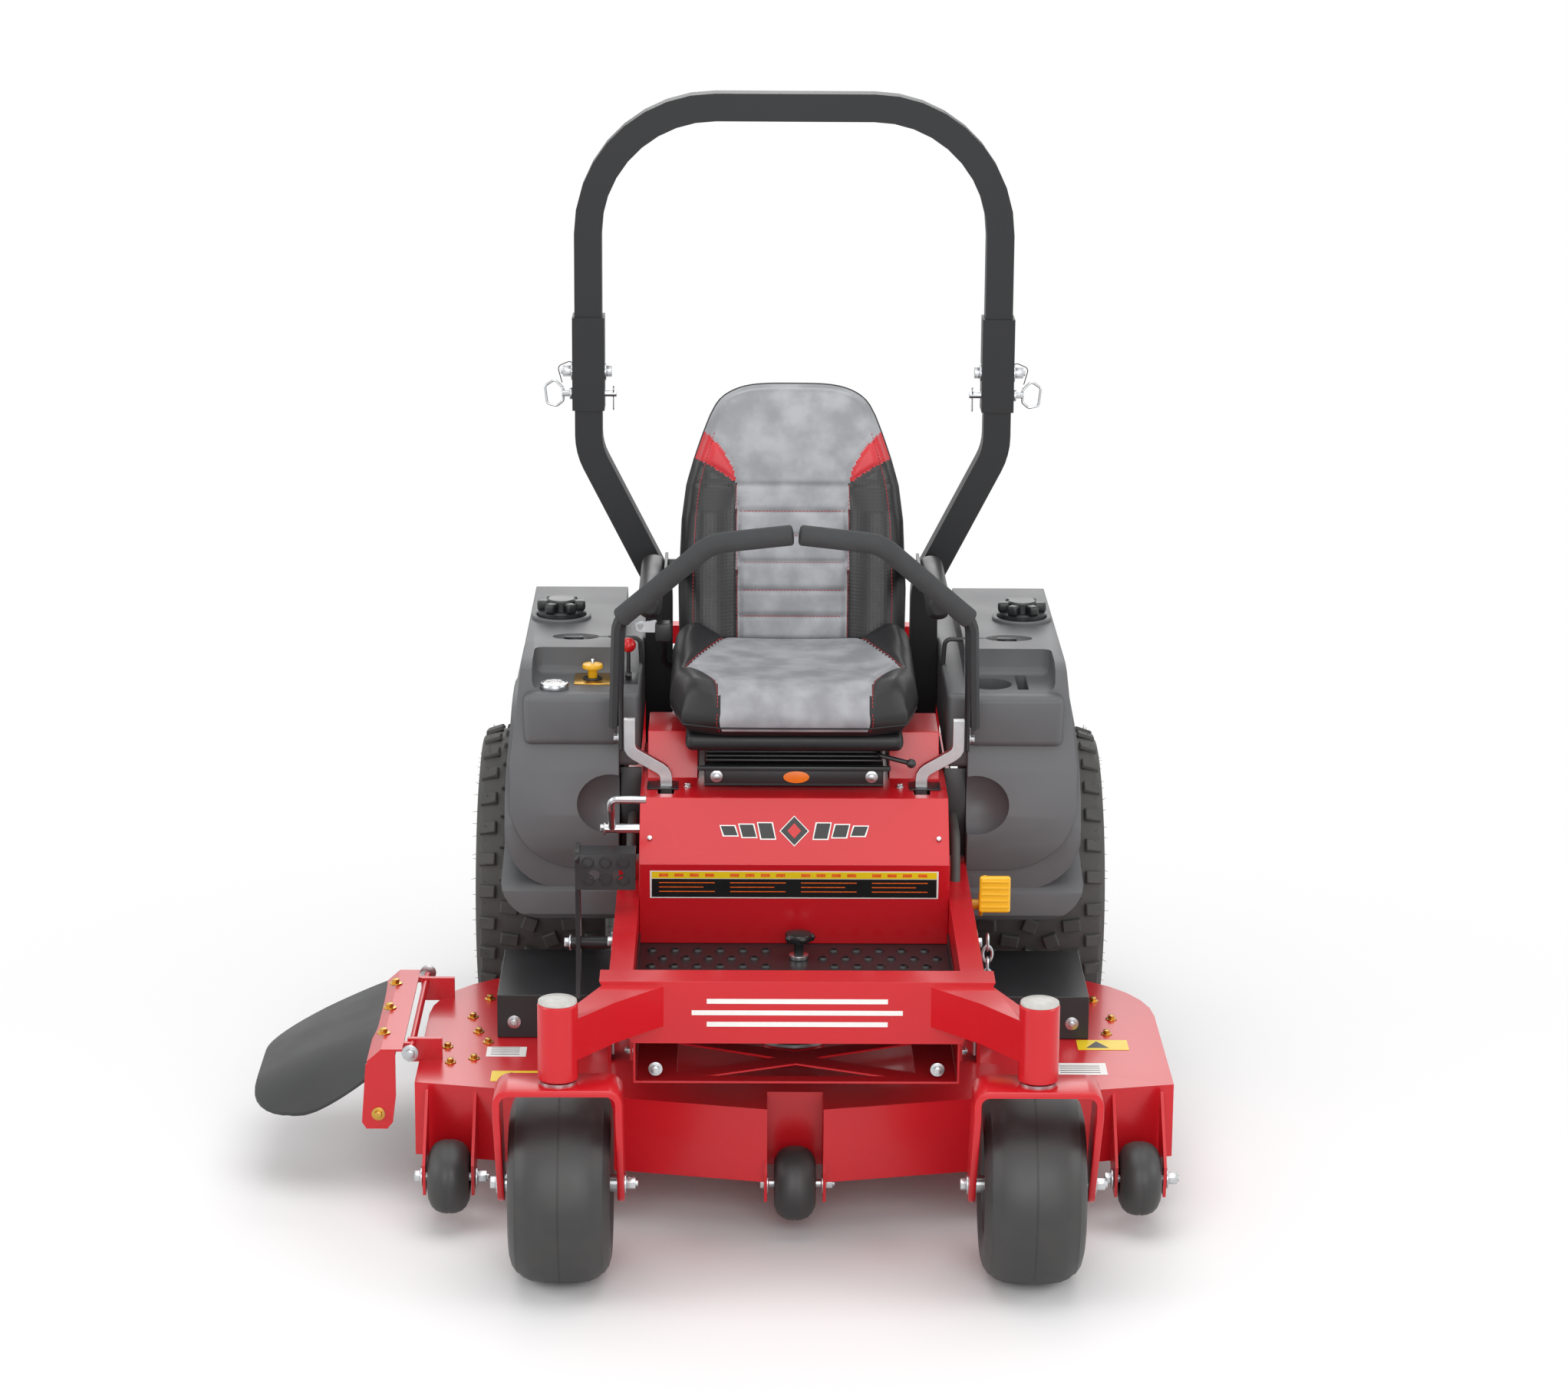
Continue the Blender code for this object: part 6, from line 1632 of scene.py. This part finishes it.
@dataclass
class Controls:
    """Levers, lap bars, foam grips, pedals and the height lock."""

    grip: float = 0.0182

    def build(self, kit: Kit) -> None:
        """Make both sides."""
        for word, side in SIDES.items():
            lever = f"lever_{word}"
            bars = f"lap_bar_{word}"
            kit.refine(lever, lever, ZINC, 2.2 * MM, 3, 25, "zinc_plate")
            kit.refine(bars, bars, BLACK, 1.0 * MM, 2, 40, "black_paint")
            self._grip(kit, word, side)
            bolts = [hex_bolt((side * 0.3128, 0.69, z), (side, 0, 0), 13 * MM) for z in (0.742,
                0.764)]
            kit.add(bolts, f"lever_bolts_{word}", ZINC, bars)
        kit.refine("lift_pedal", "lift_pedal", BLACK, 1.0 * MM, 2, 30, "black_paint")
        kit.refine("brake_pedal", "brake_pedal", YELLOW_ABS, 1.6 * MM, 2, 30, "yellow_plastic")
        kit.refine("lock_handle", "lock_handle", ZINC, 1.2 * MM, 2, 35, "zinc_plate")
        self._pedal_parts(kit)

    def _grip(self, kit: Kit, word: str, side: int) -> None:
        """Make a foam sleeve along the bent end of a lap bar."""
        path = rounded([(side * 0.309, 0.6605, 0.968), (side * 0.148, 0.615, 1.114),
                        (side * 0.006, 0.5997, 1.1333)], 0.085, 14)
        bm = swept(path, self.grip, 32)
        soften(bm, 5.0 * MM, 4, 60)
        kit.add(bm, f"grip_foam_{word}", FOAM, f"lap_bar_{word}", [f"grip_{word}"], "foam_grip",
                crease=80)

    def _pedal_parts(self, kit: Kit) -> None:
        """Make pedal treads, hole rings and pivot bolts."""
        ribs = [block((0.3255, 0.4722 - 0.0002, 0.4945 + step * 0.0115),
                      (0.3755, 0.4745, 0.4985 + step * 0.0115), 0.8 * MM) for step in range(5)]
        kit.add(ribs, "brake_pedal_ribs", YELLOW_ABS, "brake_pedal")
        holes = []
        for x in (-0.36, -0.3294, -0.2988):
            for z in (0.553, 0.584):
                lip = spun([(0.0075, 0.0), (0.011, 0.0), (0.0098, 0.0022), (0.0078, 0.0022)],
                           (0, 0, 0), "Z", 20)
                holes.append(moved(lip, shift(x, 0.442, z), aim((0, -1, 0))))
        kit.add(holes, "lift_pedal_rings", BLACK, "lift_pedal")
        pins = [hex_bolt((-0.3926, 0.5, 0.42), (-1, 0, 0), 16 * MM)]
        kit.add(pins, "lift_pedal_bolt", ZINC, "lift_pedal")
        kit.add(hex_bolt((-0.3343, 0.6, 0.6), (-1, 0, 0), 13 * MM), "lock_handle_bolt",
                ZINC,
                "lock_handle")


@dataclass
class Deck:
    """Cutting deck, rollers, belt covers, chute and what turns inside."""

    half_width: float = 0.655
    roller: float = 0.0635
    roller_width: float = 0.071
    axle_z: float = 0.0935
    roof: float = 0.2322
    cover_front: float = 0.5299
    film: float = 0.5 * MM
    film_edge: float = 0.08 * MM

    def build(self, kit: Kit) -> None:
        """Make the deck's pieces."""
        kit.refine("deck_shell", "deck", RED, 1.6 * MM, 2, 30, "red_paint")
        for word in SIDES:
            kit.refine(f"belt_cover_{word}", "deck", BLACK, 2.5 * MM, 2, 30, "black_paint")
            kit.refine(f"lift_link_{word}", "deck", ZINC, 0.8 * MM, 1, 30, "zinc_plate")
        kit.refine("chute_bracket", "chute", RED, 1.0 * MM, 2, 30, "red_paint")
        self._flap(kit)
        self._rollers(kit)
        self._fastenings(kit)
        self._labels(kit)
        self._inside(kit)

    def _flap(self, kit: Kit) -> None:
        """Make the rubber chute: a curved sheet with a rounded end and a drooping front edge."""
        low, high, near, far = 0.372, 0.798, -0.695, -0.953
        corner = 0.12
        ring = [(near, low), (near, high)]
        ring += arc((far + corner, high - corner), corner, 90, 180, 9)
        ring += arc((far + corner, low + corner), corner, 180, 270, 9)
        bm = slab(ring, "Z", 0.0, 0.006)
        gridded(bm, 0, far, near, 26)
        gridded(bm, 1, low, high, 30)
        for vert in bm.verts:
            out = max(0.0, (near - vert.co.x) / (near - far))
            ahead = max(0.0, 1 - (vert.co.y - low) / 0.17)
            behind = max(0.0, 1 - (high - vert.co.y) / 0.15)
            drop = 0.105 * out ** 1.7 + 0.012 * sin(out * pi)
            drop += 0.058 * ahead ** 2 * sin(min(1.0, out * 1.25 + 0.1) * pi * 0.62)
            drop += 0.014 * behind ** 2 * out
            vert.co.z += 0.256 - drop
        bmesh.ops.recalc_face_normals(bm, faces=bm.faces[:])
        kit.add(bm, "chute_rubber", SHEET_RUBBER, "chute", ["chute_flap"], "belt_rubber", crease=50)
        bolts = [hex_bolt((-0.72, y, 0.2684), (0, 0, 1), 13 * MM) for y in (0.45, 0.585, 0.72)]
        bolts.append(hex_bolt((-0.724, 0.3638, 0.15), (0, -1, 0), 13 * MM))
        kit.add(bolts, "chute_bolts", GOLD_ZINC, "chute")
        ends = [hex_bolt((-0.667, y, 0.262), (0, end, 0), 16 * MM, nut=end > 0)
                for y, end in ((0.3635, -1), (0.8005, 1))]
        kit.add(ends, "chute_hinge_bolts", ZINC, "chute")

    def _rollers(self, kit: Kit) -> None:
        """Make the anti-scalp rollers with their bolts."""
        for word, x, y in (("left", 0.591, 0.2112), ("centre", 0.0, 0.185), ("right", -0.591,
                0.2112)):
            half, r = self.roller_width / 2, self.roller
            wall = [(0.0125, half - 0.006), (0.026, half - 0.006), (0.03, half - 0.001), (0.034,
                half), (0.04, half - 0.0008), (r - 0.012, half - 0.0062), (r - 0.005,
                half - 0.0135), (r - 0.0012, half - 0.023), (r, 0.0035), (r - 0.0006, 0.0012)]
            kit.add(spun(mirrored(wall), (x, y, self.axle_z), "X", 72), f"roller_wheel_{word}",
                    SMOOTH_RUBBER,
                    f"roller_{word}", [f"roller_{word}"], "tyre_rubber", crease=40)
            trim = [rod((x - 0.044, y, self.axle_z), (x + 0.044, y, self.axle_z), 0.0075, 20)]
            for end in (-1, 1):
                trim.append(hex_bolt((x + end * 0.0462, y, self.axle_z), (end, 0, 0), 19 * MM,
                    nut=end > 0))
            kit.add(trim, f"roller_bolt_{word}", ZINC, "deck")

    def _fastenings(self, kit: Kit) -> None:
        """Put bolts on the belt covers, the deck's roof and the chute."""
        pale, gold = [], []
        for side in (-1, 1):
            for x in (0.345, 0.495):
                pale.append(hex_bolt((side * x, self.cover_front, 0.262), (0, -1, 0), 13 * MM))
            for x, y in ((0.56, 0.56), (0.575, 0.64), (0.55, 0.74)):
                gold.append(hex_bolt((side * x, y, self.roof), (0, 0, 1), 11 * MM))
        for x, y in ((-0.6, 0.4), (-0.56, 0.42), (-0.61, 0.48), (-0.54, 0.505)):
            gold.append(hex_bolt((x, y, self.roof), (0, 0, 1), 11 * MM))
        kit.add(pale, "belt_cover_bolts", ZINC, "deck")
        kit.add(gold, "deck_bolts", GOLD_ZINC, "deck")

    def _labels(self, kit: Kit) -> None:
        """Lay blank labels with a few plain bars on the deck and the covers."""
        white, yellow, dark = [], [], []
        low, top = self.roof, self.roof + self.film
        bar = top + 0.3 * MM
        for side in (-1, 1):
            white.append(side_block(side, (0.33, 0.529, 0.28), (0.362, 0.5298, 0.3), self.film_edge,
                1))
        for x0, x1, y0, y1 in ((0.455, 0.545, 0.345, 0.405), (-0.54, -0.47, 0.43, 0.48)):
            white.append(block((x0, y0, low), (x1, y1, top), self.film_edge, 1))
            for row in range(4):
                y = y0 + 0.01 + row * 0.011
                dark.append(block((x0 + 0.008, y, top), (x1 - 0.012, y + 0.0022, bar), 0.05 * MM,
                    1))
        for x, y in ((0.548, 0.5), (-0.48, 0.33)):
            yellow.append(slab([(x - 0.045, y - 0.026), (x + 0.045, y - 0.026), (x + 0.045,
                y + 0.026), (x - 0.045, y + 0.026)], "Z", low, top))
            dark.append(slab([(x - 0.03, y - 0.016), (x + 0.01, y - 0.016), (x - 0.01, y + 0.018)],
                "Z", top, bar))
        kit.add(white, "deck_labels_white", WHITE_FILM, "deck")
        kit.add(yellow, "deck_labels_yellow", YELLOW_FILM, "deck")
        kit.add(dark, "deck_labels_bars", BLACK_FILM, "deck")

    def _inside(self, kit: Kit) -> None:
        """Finish the blades, spindles and belt."""
        for word in ("left", "centre", "right"):
            kit.refine(f"blade_{word}", f"spindle_{word}", GROUND_STEEL, 0.8 * MM, 1, 30,
                       "bare_steel")
            kit.refine(f"spindle_{word}", f"spindle_{word}", CAST, 1.2 * MM, 2, 30, "cast_alloy")
        kit.refine("deck_belt", "deck", RUBBER, 1.0 * MM, 1, 50, "belt_rubber")


@dataclass
class PowerUnit:
    """Engine, shroud with its grille, muffler and wheel drives."""

    fan: tuple[float, float, float] = (0.0, 1.43, 0.846)

    def build(self, kit: Kit) -> None:
        """Make the rear of the machine."""
        kit.refine_all("frame", (
            ("engine_block", CAST, 4.0 * MM, 2, 25, "cast_alloy"),
            ("engine_shroud", BLACK, 3.0 * MM, 3, 25, "black_paint"),
            ("muffler", ALUMINISED, 2.0 * MM, 2, 35, "bare_steel"),
            ("wheel_drive_left", CAST, 2.5 * MM, 2, 30, "cast_alloy"),
            ("wheel_drive_right", CAST, 2.5 * MM, 2, 30, "cast_alloy")))
        fins = []
        for side in (-1, 1):
            for step in range(8):
                y = 1.372 + step * 0.02
                fins.append(side_block(side, (0.118, y, 0.515), (0.196, y + 0.004, 0.63), 0.8 * MM,
                    1))
        kit.add(fins, "cooling_fins", CAST)
        rings = [ring_round(self.fan, radius, 0.0022, (0, 0, 1), 56, 8)
                 for radius in (0.022, 0.036, 0.05, 0.064, 0.078, 0.091)]
        for inner, outer in zip(arc(self.fan[:2], 0.012, 0, 315, 7), arc(self.fan[:2], 0.094, 0,
                315, 7)):
            rings.append(rod((*inner, self.fan[2]), (*outer, self.fan[2]), 0.0022, 8))
        kit.add(rings, "intake_grille", NYLON)
        kit.add(spun([(0, 0.0), (0.016, 0.0), (0.016, 0.004), (0.012, 0.006), (0, 0.006)],
                     (*self.fan[:2], self.fan[2] - 0.002), "Z", 32), "intake_hub", NYLON)
        filter_can = spun([(0, -0.085), (0.038, -0.085), (0.042, -0.08), (0.042, 0.07), (0.045,
            0.074), (0.045, 0.084), (0.04, 0.088), (0, 0.088)], (0, 1.3, 0.848), "X", 40)
        kit.add(filter_can, "air_filter_can", BLACK)
        pipe = swept(rounded([(-0.09, 1.69, 0.56), (-0.15, 1.7, 0.56), (-0.165, 1.76, 0.545)],
            0.025), 0.014, 20)
        kit.add(pipe, "tail_pipe", ALUMINISED)
        slots = [block((-0.06, 1.713 - 0.0002, 0.535 + step * 0.014),
                       (0.06, 1.7165, 0.541 + step * 0.014), 0.8 * MM) for step in range(4)]
        kit.add(slots, "muffler_guard_bars", BLACK)
        oil = spun([(0, 0.0), (0.03, 0.0), (0.032, 0.003), (0.032, 0.062), (0.028, 0.07), (0,
            0.07)], (0, 0, 0), "Z", 32)
        kit.add(moved(oil, shift(0.075, 1.3, 0.56), aim((0, -1, 0))), "oil_filter", WHITE_FILM)


# --- stage
@dataclass
class Studio:
    """Plain pale floor, soft lamps and the camera.

    Attributes:
        position: the camera's place from the datum.
        pitch: how far it looks down, in degrees.
        yaw: its turn to the left, in degrees.
        roll: its tilt, in degrees.
        focal: focal length as a number of picture widths.
    """

    position: tuple[float, float, float] = (-0.1, -6.6, 2.75)
    pitch: float = 14.83
    yaw: float = -0.64
    roll: float = 0.4
    focal: float = 2.7045

    def build(self, kit: Kit) -> None:
        """Make the floor, the world, the lamps and the camera."""
        scene = bpy.context.scene
        scene.view_settings.view_transform = "Standard"
        self._camera(kit)
        self._world(scene)
        self._floor(kit)
        self._lamps(kit)

    def _camera(self, kit: Kit) -> None:
        """Make the camera."""
        data = bpy.data.cameras.new("camera")
        data.sensor_width = 36.0
        data.lens = self.focal * data.sensor_width
        data.clip_start = 0.1
        data.clip_end = 100.0
        camera = bpy.data.objects.new("camera", data)
        bpy.context.scene.collection.objects.link(camera)
        yaw = radians(self.yaw)
        pitch = radians(self.pitch)
        ahead = Vector((-sin(yaw) * cos(pitch), cos(yaw) * cos(pitch), -sin(pitch)))
        turn = ahead.to_track_quat("-Z", "Y").to_matrix()
        turn = turn @ Matrix.Rotation(radians(self.roll), 3, "Z")
        camera.matrix_world = Matrix.Translation(kit.at(*self.position)) @ turn.to_4x4()
        bpy.context.scene.camera = camera

    @staticmethod
    def _seen(tree: Tree) -> Socket:
        """Return 1 for a ray from the camera, a reflection or a passage through glass."""
        path = add_node(tree, "ShaderNodeLightPath")
        total = path.outputs["Is Camera Ray"]
        for kind in ("Is Glossy Ray", "Is Transmission Ray"):
            total = add_node(tree, "ShaderNodeMath", {"operation": "ADD", "use_clamp": True}, {
                0: total, 1: path.outputs[kind]}).outputs["Value"]
        return total

    def _world(self, scene: bpy.types.Scene) -> None:
        """White surroundings for the eye and for reflections, softer light for the object."""
        world = bpy.data.worlds.new("studio")
        scene.world = world
        world.use_nodes = True
        tree = world.node_tree
        strength = add_node(tree, "ShaderNodeMapRange", inputs={
            "Value": self._seen(tree), "To Min": 0.55, "To Max": 1.0})
        background = tree.nodes["Background"]
        background.inputs["Color"].default_value = (1.0, 1.0, 1.0, 1.0)
        tree.links.new(strength.outputs["Result"], background.inputs["Strength"])

    def _floor(self, kit: Kit) -> None:
        """Make a pale floor that keeps the shadow and melts into white further out."""
        bm = bmesh.new()
        bmesh.ops.create_circle(bm, cap_ends=True, segments=96, radius=14.0,
            matrix=Matrix.Translation(kit.at(0, 0.8, 0)))
        mesh = bpy.data.meshes.new("floor")
        bm.to_mesh(mesh)
        bm.free()
        floor = bpy.data.objects.new("floor", mesh)
        bpy.context.scene.collection.objects.link(floor)
        material = bpy.data.materials.new("pale_floor")
        material.use_nodes = True
        tree = material.node_tree
        shader = tree.nodes["Principled BSDF"]
        shader.inputs["Base Color"].default_value = (0.86, 0.86, 0.86, 1.0)
        shader.inputs["Roughness"].default_value = 0.6
        place = add_node(tree, "ShaderNodeTexCoord").outputs["Object"]
        offset = add_node(tree, "ShaderNodeVectorMath", {"operation": "SUBTRACT"}, {
            0: place, 1: tuple(kit.at(0, 0.7, 0))})
        span = add_node(tree, "ShaderNodeVectorMath", {"operation": "LENGTH"}, {
            0: offset.outputs["Vector"]})
        share = add_node(tree, "ShaderNodeMapRange", {"interpolation_type": "SMOOTHSTEP"}, {
            "Value": span.outputs["Value"], "From Min": 0.9, "From Max": 2.1,
            "To Min": 0.0, "To Max": 1.0})
        white = add_node(tree, "ShaderNodeEmission", inputs={"Color": (1, 1, 1, 1),
            "Strength": 1.0})
        seen = add_node(tree, "ShaderNodeMath", {"operation": "MULTIPLY"}, {
            0: self._seen(tree), 1: share.outputs["Result"]})
        mix = add_node(tree, "ShaderNodeMixShader", inputs={
            0: seen.outputs["Value"], 1: shader.outputs["BSDF"], 2: white.outputs["Emission"]})
        tree.links.new(mix.outputs["Shader"], tree.nodes["Material Output"].inputs["Surface"])
        mesh.materials.append(material)
        floor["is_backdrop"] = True

    def _lamps(self, kit: Kit) -> None:
        """Hang large soft lamps over, in front of and beside the machine."""
        lamps = (
            ("top", (0.0, 0.2, 4.2), 3.6, 70.0),
            ("front", (0.3, -4.8, 2.4), 3.0, 120.0),
            ("left", (4.2, -0.8, 2.2), 2.4, 55.0),
            ("right", (-4.2, -0.8, 2.2), 2.4, 55.0),
            ("back", (0.0, 5.0, 3.0), 2.6, 50.0),
        )
        target = kit.at(0, 0.7, 0.7)
        for name, place, size, power in lamps:
            data = bpy.data.lights.new(f"lamp_{name}", "AREA")
            data.shape = "SQUARE"
            data.size = size
            data.energy = power
            lamp = bpy.data.objects.new(f"lamp_{name}", data)
            lamp.location = kit.at(*place)
            lamp.rotation_mode = "QUATERNION"
            lamp.rotation_quaternion = (target - lamp.location).to_track_quat("-Z", "Y")
            bpy.context.scene.collection.objects.link(lamp)
            lamp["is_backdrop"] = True


def main() -> None:
    """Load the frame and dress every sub-assembly."""
    logging.basicConfig(level=logging.INFO, format="%(message)s")
    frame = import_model()
    cad_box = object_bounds()
    kit = Kit(frame["nodes"], cad_box[1].x - Deck.half_width, cad_box[0].y + Wheels.caster_radius)
    Studio().build(kit)
    builders = (
        Wheels(),
        Seat(),
        Pods(),
        RollBar(),
        Body(),
        Controls(),
        Deck(),
        PowerUnit(),
    )
    for builder in builders:
        log.info("%s", type(builder).__name__)
        builder.build(kit)
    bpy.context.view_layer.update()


if __name__ == "__main__":
    main()
